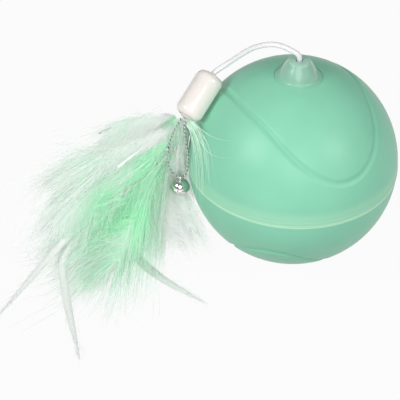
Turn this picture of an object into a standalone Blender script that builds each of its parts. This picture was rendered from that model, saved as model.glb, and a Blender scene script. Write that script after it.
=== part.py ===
"""LED cat ball: a soft-skinned ball that holds a drive unit and trails a tail of feathers.

The ball's rolling axis is +Z, the ball stands on a small flat at z = 0, and the tail hangs to -X.
Heights inside the ball are given from the ball's centre, which the empty ball_centre carries.
"""

import math

import bmesh
import bpy
from mathutils import Matrix, Vector

# Ball
BALL_RADIUS = 0.0375
REST_FLAT_RADIUS = 0.006
COVER_WALL = 0.002
SHELL_WALL = 0.0016
SEAT_GAP = 0.0003
SEAM_DROP = 0.0015
SEAM_GAP = 0.0004
LIP_PROUD = 0.0003
LIP_HEIGHT = 0.0014
LIP_ROUND = 0.0004
TUCK_DEPTH = 0.0004
BALL_STEPS = 36
BALL_RINGS = 8

# Wavy grooves in the covers, in degrees round and above the seam
GROOVE_RADIUS = 0.0013
GROOVE_DEPTH = 0.0007
GROOVE_MIDDLE = 40.4
GROOVE_SWING = 16.4
GROOVE_SHARPNESS = 3.0
GROOVE_LOBES = 2
UPPER_GROOVE_VALLEY = 33.0
LOWER_GROOVE_DROP = 5.0
LOWER_GROOVE_CREST = -12.0
GROOVE_POINTS = 52

# Collar that joins the two shells, with its keys
COLLAR_CLEARANCE = 0.0006
COLLAR_WALL = 0.0014
COLLAR_HEIGHT = 0.005
COLLAR_FOOT = 0.004
KEY_COUNT = 3
KEY_WIDTH = 0.004
KEY_PROUD = 0.0007
KEY_HEIGHT = 0.003
KEY_CLEARANCE = 0.0003

# Nipple at the pole, and the bead that anchors the cord in it
NIPPLE_DISC_RADIUS = 0.0083
NIPPLE_SEAT_CLEARANCE = 0.0003
NIPPLE_FOOT_RADIUS = 0.007
NIPPLE_TIP_RADIUS = 0.0043
NIPPLE_TIP_ROUND = 0.0014
NIPPLE_RISE = 0.006
NIPPLE_NECK_RADIUS = 0.0039
NIPPLE_CAVITY_RADIUS = 0.003
NIPPLE_CEILING = 0.0035
SOCKET_RADIUS = 0.0042
SOCKET_DEPTH = 0.0055
SOCKET_FLOOR = 0.0027
BEAD_RADIUS = 0.0026
CORD_RADIUS = 0.00095
CORD_CLEARANCE = 0.0003

# Axle and its bushes
AXLE_RADIUS = 0.0015
RUNNING_CLEARANCE = 0.0001
AXLE_END_GAP = 0.001
AXLE_FOOT_DEPTH = 0.0059
BUSH_WALL = 0.0008
BUSH_FLANGE = 0.0036
BUSH_FLANGE_THICKNESS = 0.0005
UPPER_BUSH_LENGTH = 0.006
BOSS_WALL = 0.003
BOSS_RIB_THICKNESS = 0.0012
BOSS_RIB_DROP = 0.0035
BOSS_RIB_FALL = 0.0023
BOSS_RIB_COUNT = 3
CLIP_RADIUS = 0.0034
CLIP_THICKNESS = 0.0005
CLIP_GROOVE_DEPTH = 0.0004
CLIP_MOUTH = 0.0018

# Gear train: the pod walks round the gear that is fixed to the lower shell
GEAR_MODULE = 0.0006
PRESSURE_ANGLE = math.radians(25.0)
ADDENDUM_SHARE = 0.9
DEDENDUM_SHARE = 1.15
BACKLASH = 0.0001
FIXED_TEETH = 30
IDLER_SMALL_TEETH = 10
IDLER_LARGE_TEETH = 24
PINION_TEETH = 10
IDLER_ANGLE = math.radians(-25.0)
PINION_ANGLE = math.radians(-125.0)
FIXED_GEAR_WIDTH = 0.003
LARGE_GEAR_WIDTH = 0.0022
GEAR_RUNNING_GAP = 0.0006
KEY_SQUARE = 0.006
KEY_SQUARE_HEIGHT = 0.002
IDLER_PIN_RADIUS = 0.00075
IDLER_PIN_HEAD_RADIUS = 0.0016
IDLER_PIN_HEAD = 0.001
SHAFT_RADIUS = 0.0005

# Drive pod: a D-shaped tray that hangs its weight on one side of the axle. What has to fit in its
# plan is given as shares of its radius.
POD_CLEARANCE = 0.0016
POD_BACK_SHARE = 0.2333
POD_WALL = 0.0014
POD_FLOOR_DROP = 0.010
POD_RISE = 0.006
POD_LID = 0.0016
POD_STEPS = 22
HUB_RADIUS = 0.0042
HUB_NOSE_RADIUS = 0.0033
PIN_BOSS_RADIUS = 0.002
PIN_BOSS_HEIGHT = 0.002
POST_RADIUS = 0.0018
SCREW_RADIUS = 0.0007
SCREW_HEAD_RADIUS = 0.0015
SCREW_CROWN_SHARE = 0.6
SCREW_HEAD_HEIGHT = 0.0009
SCREW_LENGTH = 0.007
FRONT_POST_SHARES = (0.6167, 0.6833)
REAR_POST_SHARES = (-0.1133, 0.8167)
MOTOR_RADIUS_SHARE = 0.2
MOTOR_FLAT_SHARE = 0.17
MOTOR_HEIGHT = 0.0118
MOTOR_NOSE_RADIUS = 0.002
MOTOR_NOSE_LENGTH = 0.0012
MOTOR_CORNER = 0.0006
MOTOR_TAB = (0.0012, 0.0006, 0.0008)
MOTOR_TAB_SPREAD = 0.0018
CRADLE_HEIGHT = 0.004
CRADLE_THICKNESS = 0.001
CRADLE_LENGTH = 0.007
BATTERY_RADIUS_SHARE = 0.1667
BATTERY_LENGTH_SHARE = 0.9
BATTERY_NUB_RADIUS = 0.002
BATTERY_NUB_LENGTH = 0.0006
BATTERY_CORNER = 0.0004
BATTERY_PLACE_SHARE = 0.6333
BATTERY_LID_GAP = 0.0006
WEIGHT_INNER_SHARE = 0.5733
WEIGHT_HALF_ANGLE = math.radians(33.0)
WEIGHT_HEIGHT = 0.0051
WEIGHT_STEPS = 10

# Circuit board and what stands on it, its plan in shares of the pod's radius
BOARD_LOW_SHARES = (-0.15, 0.2)
BOARD_HIGH_SHARES = (0.3833, 0.7167)
BOARD_HEIGHT = -0.002
BOARD_THICKNESS = 0.0012
BOARD_POST_SHARES = ((-0.0867, 0.2733), (0.32, 0.64))
BOARD_POST_RADIUS = 0.0016
USB_PLACE_SHARES = (0.0933, 0.5933)
USB_WIDTH_SHARE = 0.2967
USB_DEPTH_SHARE = 0.1067
USB_WALL = 0.0003
USB_PROUD = 0.0003
USB_TONGUE_SHARES = (0.22, 0.0233)
USB_TONGUE_RECESS = 0.0008
USB_BASE = 0.0008
LED_PLACE_SHARES = ((-0.08, 0.4167), (0.31, 0.3333))
LED_RADIUS_SHARE = 0.05
LED_FLANGE_SHARE = 0.0633
LED_FLANGE_HEIGHT = 0.0008
LED_BODY_HEIGHT = 0.0052
LED_LEG = 0.0005
LED_LEG_SPREAD = 0.0009
SWITCH_PLACE_SHARES = (0.1167, 0.3267)
SWITCH_SIDE_SHARE = 0.1867
SWITCH_HEIGHT = 0.0034
SWITCH_PLUNGER_RADIUS = 0.0011
SWITCH_PLUNGER_HEIGHT = 0.0006
BUTTON_RADIUS_SHARE = 0.0867
BUTTON_FLANGE_SHARE = 0.1067
BUTTON_FLANGE_HEIGHT = 0.0009
BUTTON_PROUD = 0.0009
BUTTON_CORNER = 0.0003
BUTTON_TRAVEL = 0.0006
BUTTON_STEM_RADIUS = 0.0010
LEAD_RADIUS = 0.00045
LEAD_POINTS = 11
MOTOR_LEAD_RED_SHARES = ((0.2867, -0.3, 0.7833), (0.24, -0.1, 0.5), (0.22, 0.0667, 0.2333))
MOTOR_LEAD_BLACK_SHARES = (
    (0.15, -0.2833, 0.8333),
    (0.1867, -0.15, 0.7667),
    (0.2933, -0.0333, 0.6667),
    (0.3267, 0.1, 0.2667),
)
BATTERY_LEAD_RED_SHARES = ((0.55, 0.5467, 0.2333), (0.44, 0.5333, 0.2))
BATTERY_LEAD_BLACK_SHARES = (
    (0.5167, -0.5267, 0.3333),
    (0.4267, -0.4167, 0.7),
    (0.4233, -0.2, 0.7667),
    (0.4233, 0.1333, 0.6667),
    (0.4133, 0.37, 0.2667),
)
LEAD_PAD_SHARES = ((0.2467, 0.22), (0.32, 0.22), (0.36, 0.5), (0.3467, 0.4267))

# Ferrule, leaning on the ball's shoulder
FERRULE_RADIUS = 0.0051
FERRULE_LENGTH = 0.0176
FERRULE_BALL_GAP = 0.0006
FERRULE_CONTACT = 0.0088
FERRULE_TOP_ROUND = 0.0024
FERRULE_MOUTH_ROUND = 0.0020
FERRULE_BORE_DEPTH = 0.006
FERRULE_LIP = 0.0002
LEAN_ELEVATION = math.radians(37.5)
LEAN_AZIMUTH = math.radians(180.0)
LEAN_TURN = math.radians(36.0)
BINDING_PROUD = 0.0008

# The cord from the nipple to the ferrule, from the point where it bends at the nipple's mouth, in
# shares of the ball's radius
CORD_BEND_HEIGHT = 0.0013
CORD_POINTS = 16
CORD_TUCK = 0.004
CORD_ROUTE_SHARES = (
    (0.0, 0.0, 0.0),
    (-0.016, 0.0, 0.0293),
    (-0.08, 0.0107, 0.056),
    (-0.168, 0.032, 0.0853),
    (-0.272, 0.0693, 0.0747),
    (-0.3973, 0.1147, 0.0107),
    (-0.4933, 0.1547, -0.0747),
    (-0.5867, 0.1893, -0.1787),
    (-0.672, 0.208, -0.2693),
    (-0.7413, 0.192, -0.3173),
)

# Bell on its loop of string, whose route is in shares of the tail's span, across and down
STRING_RADIUS = 0.00035
STRING_EXIT_SHARES = (0.6, -0.8)
STRING_EXIT_DROP = 0.0013
STRING_POINTS = 36
STRING_ROUTE_SHARES = (
    (-0.011, -0.006),
    (-0.032, -0.056),
    (-0.064, -0.14),
    (-0.092, -0.26),
    (-0.098, -0.37),
    (-0.074, -0.46),
    (-0.036, -0.514),
    (0.0, -0.528),
    (0.028, -0.512),
    (0.044, -0.46),
    (0.05, -0.386),
    (0.044, -0.304),
    (0.028, -0.204),
    (0.016, -0.096),
    (0.011, -0.006),
)
STRING_BOTTOM_SHARE = 0.528
BELL_BALL_GAP = 0.0004
BELL_RADIUS = 0.0033
BELL_WALL = 0.0004
BELL_BAND_PROUD = 0.00025
BELL_BAND_HEIGHT = 0.0006
BELL_SLOT_WIDTH = 0.0009
BELL_SLOT_HALF_ANGLE = math.radians(52.0)
BELL_STEPS = 16
BELL_RINGS = 7
EYE_STEPS = 18
SLOT_STEPS = 8
EYE_RADIUS = 0.0012
EYE_WIRE = 0.00035
EYE_SUNK = 0.0006
EYE_PLAY = 0.0003
PELLET_RADIUS = 0.0012

# Feathers: routes from the ferrule's mouth in shares of the tail's span, widths in real sizes
TAIL_SPAN = 0.050
QUILL_RADIUS = 0.0003
FEATHER_SIDES = 8
VIEW_TILT = math.radians(38.0)
PLUME_STATIONS = 11
HACKLE_STATIONS = 14
PLUME_PEAK = 2.0
HACKLE_PEAK = 2.6
TIP_SHARE = 0.1
PLUME_TWIST = math.radians(30.0)
QUILL_GAP = 0.0005
PLUMES = (
    ("upper_plume", "pale", 0.0056, 0.0011, (0.74, 0.14),
     ((-0.150, 0.11, -0.105), (-0.422, 0.21, -0.229), (-0.825, 0.25, -0.489))),
    ("left_plume", "white", 0.0054, 0.0011, (0.43, 0.03),
     ((-0.150, 0.05, -0.175), (-0.506, 0.06, -0.401), (-1.050, 0.07, -0.813))),
    ("lower_left_plume", "mint", 0.0050, 0.0011, (0.14, -0.09),
     ((-0.136, 0.02, -0.237), (-0.514, -0.03, -0.541), (-1.044, -0.17, -1.013))),
    ("mint_plume", "mint", 0.0068, 0.0018, (-0.46, 0.20),
     ((-0.104, 0.07, -0.297), (-0.236, -0.01, -0.577), (-0.376, -0.37, -0.837), (-0.542, -0.87, -1.045))),
    ("right_plume", "white", 0.0045, 0.0013, (-0.34, 0.49),
     ((-0.055, 0.18, -0.297), (-0.160, 0.14, -0.597), (-0.130, -0.11, -0.877), (-0.064, -0.41, -1.010))),
    ("side_plume", "mint", 0.0026, 0.0011, (-0.69, 0.46),
     ((-0.008, 0.20, -0.307), (-0.072, 0.13, -0.617), (-0.006, -0.07, -0.777), (0.120, -0.29, -0.881))),
)
HACKLES = (
    ("hackle_left", "white", 0.0014, 0.0004, (-0.05, -0.45),
     ((-0.121, -0.01, -0.277), (-0.470, -0.06, -0.600), (-0.816, -0.23, -0.947), (-1.256, -0.93, -1.123))),
    ("hackle_middle", "white", 0.0015, 0.0004, (-0.42, -0.26),
     ((-0.114, -0.03, -0.317), (-0.476, -0.10, -0.697), (-0.816, -0.29, -1.017),
      (-0.796, -0.69, -1.097), (-0.656, -1.35, -1.123))),
    ("hackle_right", "white", 0.0020, 0.0004, (-0.06, 0.69),
     ((-0.086, 0.24, -0.297), (-0.226, 0.24, -0.697), (-0.356, 0.07, -1.017),
      (-0.336, -0.17, -1.107), (-0.136, -0.43, -1.121), (0.184, -0.68, -1.125))),
)

OVERRUN = 0.002
MERGE = 0.00001
ROUND_STEPS = 20
SMALL_STEPS = 8
SLOT_END_STEPS = 6
ROUNDING_STEPS = 4
CLIP_STEPS = 20
CURVE_STEPS = 24
NIPPLE_STEPS = 26
SHARP_ANGLE = math.radians(35.0)

# Heights worked out from the sizes above, from the ball's centre
CENTRE_Z = math.sqrt(BALL_RADIUS**2 - REST_FLAT_RADIUS**2)
COVER_INNER = BALL_RADIUS - COVER_WALL
SHELL_OUTER = COVER_INNER - SEAT_GAP
SHELL_INNER = SHELL_OUTER - SHELL_WALL
UPPER_RIM = -SEAM_DROP + SEAM_GAP / 2
LOWER_RIM = -SEAM_DROP - SEAM_GAP / 2
COLLAR_OUTER = SHELL_INNER - COLLAR_CLEARANCE
COLLAR_INNER = COLLAR_OUTER - COLLAR_WALL
COLLAR_TOP = LOWER_RIM + COLLAR_HEIGHT
BORE_RADIUS = AXLE_RADIUS + RUNNING_CLEARANCE
BUSH_RADIUS = BORE_RADIUS + BUSH_WALL
BUSH_HOLE_RADIUS = BUSH_RADIUS + RUNNING_CLEARANCE
BOSS_RADIUS = BUSH_HOLE_RADIUS + BOSS_WALL
NIPPLE_TIP_HEIGHT = BALL_RADIUS + NIPPLE_RISE
SOCKET_BOTTOM = SHELL_OUTER - SOCKET_DEPTH
BUSH_TOP = SOCKET_BOTTOM - SOCKET_FLOOR
BUSH_BOTTOM = BUSH_TOP - UPPER_BUSH_LENGTH
AXLE_TOP = BUSH_TOP - AXLE_END_GAP
AXLE_FOOT = SHELL_INNER - AXLE_FOOT_DEPTH

POD_RADIUS = COLLAR_INNER - POD_CLEARANCE
POD_BACK = POD_RADIUS * POD_BACK_SHARE
MOTOR_RADIUS = POD_RADIUS * MOTOR_RADIUS_SHARE
MOTOR_FLAT = POD_RADIUS * MOTOR_FLAT_SHARE
BATTERY_RADIUS = POD_RADIUS * BATTERY_RADIUS_SHARE
BATTERY_LENGTH = POD_RADIUS * BATTERY_LENGTH_SHARE
BATTERY_X = POD_RADIUS * BATTERY_PLACE_SHARE
WEIGHT_INNER_RADIUS = POD_RADIUS * WEIGHT_INNER_SHARE
BOARD_LOW = [POD_RADIUS * share for share in BOARD_LOW_SHARES]
BOARD_HIGH = [POD_RADIUS * share for share in BOARD_HIGH_SHARES]
BOARD_POST_PLACES = [[POD_RADIUS * share for share in place] for place in BOARD_POST_SHARES]
USB_PLACE = [POD_RADIUS * share for share in USB_PLACE_SHARES]
USB_WIDTH = POD_RADIUS * USB_WIDTH_SHARE
USB_DEPTH = POD_RADIUS * USB_DEPTH_SHARE
USB_TONGUE = [POD_RADIUS * share for share in USB_TONGUE_SHARES]
LED_PLACES = [[POD_RADIUS * share for share in place] for place in LED_PLACE_SHARES]
LED_RADIUS = POD_RADIUS * LED_RADIUS_SHARE
LED_FLANGE_RADIUS = POD_RADIUS * LED_FLANGE_SHARE
SWITCH_PLACE = [POD_RADIUS * share for share in SWITCH_PLACE_SHARES]
SWITCH_SIDE = POD_RADIUS * SWITCH_SIDE_SHARE
BUTTON_RADIUS = POD_RADIUS * BUTTON_RADIUS_SHARE
BUTTON_FLANGE_RADIUS = POD_RADIUS * BUTTON_FLANGE_SHARE

POD_FLOOR_LOW = -POD_FLOOR_DROP
POD_FLOOR_TOP = POD_FLOOR_LOW + POD_WALL
LID_LOW = POD_RISE + SEAT_GAP
LID_TOP = LID_LOW + POD_LID
HUB_TOP = LID_TOP + SEAT_GAP
FERRULE_SOCKET = FERRULE_RADIUS - FERRULE_MOUTH_ROUND - FERRULE_LIP
STRING_BOTTOM = TAIL_SPAN * STRING_BOTTOM_SHARE
# From the bottom of the string's loop
EYE_HEIGHT = -(EYE_RADIUS - EYE_WIRE - STRING_RADIUS - EYE_PLAY)
BELL_HEIGHT = EYE_HEIGHT - EYE_RADIUS - BELL_RADIUS + EYE_SUNK
LARGE_GEAR_TOP = POD_FLOOR_LOW - GEAR_RUNNING_GAP
LARGE_GEAR_LOW = LARGE_GEAR_TOP - LARGE_GEAR_WIDTH
FIXED_GEAR_TOP = LARGE_GEAR_LOW - GEAR_RUNNING_GAP
FIXED_GEAR_LOW = FIXED_GEAR_TOP - FIXED_GEAR_WIDTH
HUB_NOSE_LOW = FIXED_GEAR_TOP + SEAT_GAP
LOWER_BOSS_TOP = FIXED_GEAR_LOW - SEAT_GAP
IDLER_PLACE = (
    GEAR_MODULE * (FIXED_TEETH + IDLER_SMALL_TEETH) / 2 * math.cos(IDLER_ANGLE),
    GEAR_MODULE * (FIXED_TEETH + IDLER_SMALL_TEETH) / 2 * math.sin(IDLER_ANGLE),
)
MOTOR_PLACE = (
    IDLER_PLACE[0] + GEAR_MODULE * (IDLER_LARGE_TEETH + PINION_TEETH) / 2 * math.cos(PINION_ANGLE),
    IDLER_PLACE[1] + GEAR_MODULE * (IDLER_LARGE_TEETH + PINION_TEETH) / 2 * math.sin(PINION_ANGLE),
)
BATTERY_HEIGHT = LID_LOW - BATTERY_LID_GAP - BATTERY_RADIUS
BOARD_TOP = BOARD_HEIGHT + BOARD_THICKNESS
POST_PLACES = [
    (POD_RADIUS * shares[0], side * POD_RADIUS * shares[1])
    for shares in (FRONT_POST_SHARES, REAR_POST_SHARES)
    for side in (1, -1)
]

PARTS = "led_cat_ball"
TOOLS = "cutters"


def clear_scene():
    """Remove whatever objects the file holds."""
    for obj in list(bpy.data.objects):
        bpy.data.objects.remove(obj, do_unlink=True)


def make_collection(name):
    """A collection of this name, linked to the scene."""
    group = bpy.data.collections.new(name)
    bpy.context.scene.collection.children.link(group)
    return group


def make_material(name, colour, roughness, metallic=0.0):
    """A plain Principled material."""
    material = bpy.data.materials.new(name)
    material.use_nodes = True
    shader = material.node_tree.nodes["Principled BSDF"]
    shader.inputs["Base Color"].default_value = (*colour, 1.0)
    shader.inputs["Roughness"].default_value = roughness
    shader.inputs["Metallic"].default_value = metallic
    material.diffuse_color = (*colour, 1.0)
    return material


def make_materials():
    """One material for each finish on the ball."""
    finishes = {
        "mint_skin": ((0.29, 0.71, 0.50), 0.45, 0.0),
        "mint_clear": ((0.42, 0.74, 0.58), 0.40, 0.0),
        "milky_shell": ((0.86, 0.88, 0.86), 0.45, 0.0),
        "steel": ((0.62, 0.62, 0.64), 0.30, 1.0),
        "brass": ((0.75, 0.58, 0.27), 0.35, 1.0),
        "white_gear": ((0.90, 0.89, 0.85), 0.50, 0.0),
        "black_plastic": ((0.03, 0.03, 0.035), 0.55, 0.0),
        "pod_plastic": ((0.80, 0.80, 0.78), 0.50, 0.0),
        "board_green": ((0.02, 0.20, 0.09), 0.45, 0.0),
        "battery_sleeve": ((0.05, 0.16, 0.45), 0.40, 0.0),
        "red_lamp": ((0.80, 0.06, 0.04), 0.15, 0.0),
        "red_lead": ((0.60, 0.03, 0.02), 0.50, 0.0),
        "cord_white": ((0.86, 0.86, 0.90), 0.35, 0.0),
        "ferrule_white": ((0.93, 0.91, 0.87), 0.15, 0.0),
        "tinsel": ((0.75, 0.76, 0.78), 0.35, 0.8),
        "chrome": ((0.80, 0.80, 0.80), 0.08, 1.0),
        "mint": ((0.50, 0.82, 0.60), 0.85, 0.0),
        "pale": ((0.72, 0.87, 0.76), 0.85, 0.0),
        "white": ((0.88, 0.90, 0.88), 0.85, 0.0),
    }
    return {name: make_material(name, *values) for name, values in finishes.items()}


def link(obj, group=PARTS, material=None):
    """Put an object in a collection and give it its material."""
    bpy.data.collections[group].objects.link(obj)
    if material is not None:
        obj.data.materials.append(bpy.data.materials[material])
    if group == TOOLS:
        obj.hide_render = True
        obj.display_type = "WIRE"
    return obj


def place(obj, parent, location=(0.0, 0.0, 0.0), rotation=(0.0, 0.0, 0.0)):
    """Hang an object on an empty at a place given from it."""
    obj.parent = parent
    obj.location = location
    obj.rotation_euler = rotation
    return obj


def make_empty(name, parent=None, location=(0.0, 0.0, 0.0), rotation=(0.0, 0.0, 0.0)):
    """An empty that marks a joint's axis or carries an assembly."""
    empty = bpy.data.objects.new(name, None)
    bpy.data.collections[PARTS].objects.link(empty)
    empty.empty_display_size = BALL_RADIUS / 4
    return place(empty, parent, location, rotation)


def arc(radius, start, end):
    """Points (r, z) on a circle about the centre between two heights, at latitudes all spheres share."""
    low, high = sorted((math.asin(start / radius), math.asin(end / radius)))
    step = math.pi / 2 / BALL_RINGS
    rings = [k * step for k in range(-BALL_RINGS, BALL_RINGS + 1)]
    inside = [angle for angle in rings if low + step / 4 < angle < high - step / 4]
    angles = [low] + inside + [high]
    if start > end:
        angles.reverse()
    return [(radius * math.cos(a), radius * math.sin(a)) for a in angles]


def turned(name, profile, steps, group=PARTS, material=None, closed=False):
    """A turned solid from a profile of (radius, height) points that runs down its outer side."""
    mesh = bpy.data.meshes.new(name)
    count = len(profile)
    edges = [(i, i + 1) for i in range(count - 1)]
    if closed:
        edges.append((count - 1, 0))
    mesh.from_pydata([(r, 0.0, z) for r, z in profile], edges, [])
    obj = link(bpy.data.objects.new(name, mesh), group, material)
    screw = obj.modifiers.new("turn", "SCREW")
    screw.axis = "Z"
    screw.angle = 2 * math.pi
    screw.steps = steps
    screw.render_steps = steps
    screw.use_merge_vertices = True
    screw.merge_threshold = MERGE
    screw.use_smooth_shade = True
    return obj


def mesh_from_curve(curve_object, group, material):
    """Turn a curve object into a mesh object with welded caps, and drop the curve."""
    graph = bpy.context.evaluated_depsgraph_get()
    mesh = bpy.data.meshes.new_from_object(curve_object.evaluated_get(graph))
    work = bmesh.new()
    work.from_mesh(mesh)
    bmesh.ops.remove_doubles(work, verts=work.verts, dist=MERGE)
    bmesh.ops.recalc_face_normals(work, faces=work.faces)
    work.to_mesh(mesh)
    work.free()
    name = curve_object.name
    matrix = curve_object.matrix_world.copy()
    bpy.data.objects.remove(curve_object, do_unlink=True)
    mesh.name = name
    mesh.materials.clear()
    obj = link(bpy.data.objects.new(name, mesh), group, material)
    obj.matrix_world = matrix
    return obj


def plate(name, outlines, low, high, group=PARTS, material=None):
    """A flat piece between two heights; outlines after the first are holes."""
    curve = bpy.data.curves.new(name, "CURVE")
    curve.dimensions = "2D"
    curve.fill_mode = "BOTH"
    curve.extrude = (high - low) / 2
    for outline in outlines:
        spline = curve.splines.new("POLY")
        spline.points.add(len(outline) - 1)
        for point, (x, y) in zip(spline.points, outline):
            point.co = (x, y, 0.0, 1.0)
        spline.use_cyclic_u = True
    obj = bpy.data.objects.new(name, curve)
    bpy.data.collections[group].objects.link(obj)
    solid = mesh_from_curve(obj, group, material)
    solid.data.transform(Matrix.Translation((0.0, 0.0, (low + high) / 2)))
    return solid


def tube(name, points, radius, group=PARTS, material=None, cyclic=False, resolution=2):
    """A round tube along points, as a curve with filled caps."""
    curve = bpy.data.curves.new(name, "CURVE")
    curve.dimensions = "3D"
    curve.bevel_depth = radius
    curve.bevel_resolution = resolution
    curve.use_fill_caps = not cyclic
    spline = curve.splines.new("POLY")
    spline.points.add(len(points) - 1)
    for point, place_on_route in zip(spline.points, points):
        point.co = (*place_on_route, 1.0)
    spline.use_cyclic_u = cyclic
    return link(bpy.data.objects.new(name, curve), group, material)


def box(name, size, centre, group=PARTS, material=None):
    """A box of this size about this centre."""
    mesh = bpy.data.meshes.new(name)
    work = bmesh.new()
    bmesh.ops.create_cube(work, size=1.0)
    bmesh.ops.scale(work, vec=size, verts=work.verts)
    bmesh.ops.translate(work, vec=centre, verts=work.verts)
    work.to_mesh(mesh)
    work.free()
    return link(bpy.data.objects.new(name, mesh), group, material)


def cylinder(name, radius, low, high, at=(0.0, 0.0), group=PARTS, material=None, sides=ROUND_STEPS):
    """An upright cylinder between two heights."""
    mesh = bpy.data.meshes.new(name)
    work = bmesh.new()
    bmesh.ops.create_cone(
        work, cap_ends=True, segments=sides, radius1=radius, radius2=radius, depth=high - low
    )
    bmesh.ops.translate(work, vec=(at[0], at[1], (low + high) / 2), verts=work.verts)
    work.to_mesh(mesh)
    work.free()
    mesh.shade_smooth()
    mesh.set_sharp_from_angle(angle=SHARP_ANGLE)
    return link(bpy.data.objects.new(name, mesh), group, material)


def combine(target, tool, operation):
    """Cut a tool from a piece, or join it on, and keep the tool as a guide."""
    tool.parent = target.parent
    boolean = target.modifiers.new(tool.name, "BOOLEAN")
    boolean.operation = operation
    boolean.solver = "EXACT"
    boolean.object = tool
    return target


def cut(target, tool):
    """Take a tool's shape out of a piece."""
    return combine(target, tool, "DIFFERENCE")


def join(target, tool):
    """Join a tool's shape to a piece."""
    return combine(target, tool, "UNION")


def circle(radius, at=(0.0, 0.0), count=ROUND_STEPS):
    """Points round a circle."""
    turn = 2 * math.pi / count
    return [(at[0] + radius * math.cos(i * turn), at[1] + radius * math.sin(i * turn)) for i in range(count)]


def stadium(width, depth, at=(0.0, 0.0)):
    """Outline of a slot with round ends, its length along X."""
    half = (width - depth) / 2
    points = []
    for side in (1, -1):
        for x, y in part_circle(depth / 2, -side * math.pi / 2, math.pi, SLOT_END_STEPS):
            points.append((at[0] + side * half + x, at[1] + y))
    return points


def part_circle(radius, start, turn, count):
    """Points (x, y) along part of a circle, ends included."""
    angles = [start + turn * i / count for i in range(count + 1)]
    return [(radius * math.cos(a), radius * math.sin(a)) for a in angles]


def smooth_route(points, count):
    """Evenly spaced points on a smooth curve through a route's own points."""
    route = [Vector(p) for p in points]
    ends = [route[0] * 2 - route[1]] + route + [route[-1] * 2 - route[-2]]
    fine = []
    for i in range(1, len(ends) - 2):
        before, start, end, after = ends[i - 1:i + 3]
        for k in range(CURVE_STEPS):
            t = k / CURVE_STEPS
            fine.append(
                (start * 2 + (end - before) * t
                 + (before * 2 - start * 5 + end * 4 - after) * t**2
                 + (start * 3 - before - end * 3 + after) * t**3) / 2
            )
    fine.append(route[-1])
    lengths = [0.0]
    for a, b in zip(fine, fine[1:]):
        lengths.append(lengths[-1] + (b - a).length)
    result = []
    k = 0
    for i in range(count):
        want = lengths[-1] * i / (count - 1)
        while k < len(lengths) - 2 and lengths[k + 1] < want:
            k += 1
        span = lengths[k + 1] - lengths[k]
        result.append(fine[k].lerp(fine[k + 1], (want - lengths[k]) / span))
    return result


def gear_outline(teeth, phase):
    """Outline of an involute gear with a tooth centred on the angle phase."""
    pitch = GEAR_MODULE * teeth / 2
    base = pitch * math.cos(PRESSURE_ANGLE)
    tip = pitch + ADDENDUM_SHARE * GEAR_MODULE
    root = pitch - DEDENDUM_SHARE * GEAR_MODULE
    half_at_pitch = math.pi / (2 * teeth) - BACKLASH / (2 * pitch)

    def involute(radius):
        angle = math.acos(min(1.0, base / radius))
        return math.tan(angle) - angle

    def half_angle(radius):
        return half_at_pitch + involute(pitch) - involute(max(radius, base))

    radii = (root, pitch, tip)
    points = []
    for k in range(teeth):
        centre = phase + 2 * math.pi * k / teeth
        rise = [(r, centre - half_angle(r)) for r in radii]
        fall = [(r, centre + half_angle(r)) for r in reversed(radii)]
        points += [(r * math.cos(a), r * math.sin(a)) for r, a in rise + fall]
    return points


def meshing_phase(direction, phase, teeth, other_teeth):
    """Phase of a gear that meshes with another, which lies in this direction from the other."""
    return direction + math.pi + (direction - phase) * teeth / other_teeth + math.pi / other_teeth


def wave_route(radius, middle, swing, sharpness, crest):
    """A closed wave round the ball, with its latitude a sum of two cosines."""
    points = []
    for i in range(GROOVE_POINTS):
        azimuth = 2 * math.pi * i / GROOVE_POINTS
        turn = GROOVE_LOBES * (azimuth - math.radians(crest))
        latitude = math.radians(middle - swing * math.cos(turn) - sharpness * math.cos(2 * turn))
        across = radius * math.cos(latitude)
        height = radius * math.sin(latitude)
        # Azimuth 0 faces -Y and grows towards +X
        points.append(Vector((across * math.sin(azimuth), -across * math.cos(azimuth), height)))
    return points


def cut_groove(cover, name, middle, swing, sharpness, crest):
    """Press a shallow round groove along a wave into a cover."""
    route = wave_route(BALL_RADIUS + GROOVE_RADIUS - GROOVE_DEPTH, middle, swing, sharpness, crest)
    curve = tube(name + "_route", route, GROOVE_RADIUS, TOOLS, cyclic=True)
    cut(cover, mesh_from_curve(curve, TOOLS, None))


def make_covers(centre, upper):
    """The two soft skins, each with its wavy groove."""
    seat = NIPPLE_DISC_RADIUS + NIPPLE_SEAT_CLEARANCE
    lip_top = UPPER_RIM + LIP_HEIGHT
    outer = arc(BALL_RADIUS, math.sqrt(BALL_RADIUS**2 - seat**2), lip_top)
    proud = BALL_RADIUS + LIP_PROUD
    lip = [(proud, lip_top - LIP_ROUND), (proud, UPPER_RIM + LIP_ROUND), (proud - LIP_ROUND, UPPER_RIM)]
    inner = arc(COVER_INNER, UPPER_RIM, math.sqrt(COVER_INNER**2 - seat**2))
    cover = turned("upper_cover", outer + lip + inner, BALL_STEPS, material="mint_skin", closed=True)
    place(cover, upper)
    cut_groove(cover, "upper_groove", GROOVE_MIDDLE, GROOVE_SWING, GROOVE_SHARPNESS, UPPER_GROOVE_VALLEY)

    tucked = math.sqrt(BALL_RADIUS**2 - LOWER_RIM**2) - TUCK_DEPTH
    inner = arc(COVER_INNER, -COVER_INNER, LOWER_RIM)
    inner[0] = (0.0, -COVER_INNER)
    rim = [(tucked, LOWER_RIM)]
    outer = arc(BALL_RADIUS, LOWER_RIM - TUCK_DEPTH, -CENTRE_Z)
    cover = turned("lower_cover", inner + rim + outer + [(0.0, -CENTRE_Z)], BALL_STEPS, material="mint_skin")
    place(cover, centre)
    middle = -GROOVE_MIDDLE - LOWER_GROOVE_DROP
    cut_groove(cover, "lower_groove", middle, -GROOVE_SWING, -GROOVE_SHARPNESS, LOWER_GROOVE_CREST)


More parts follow.
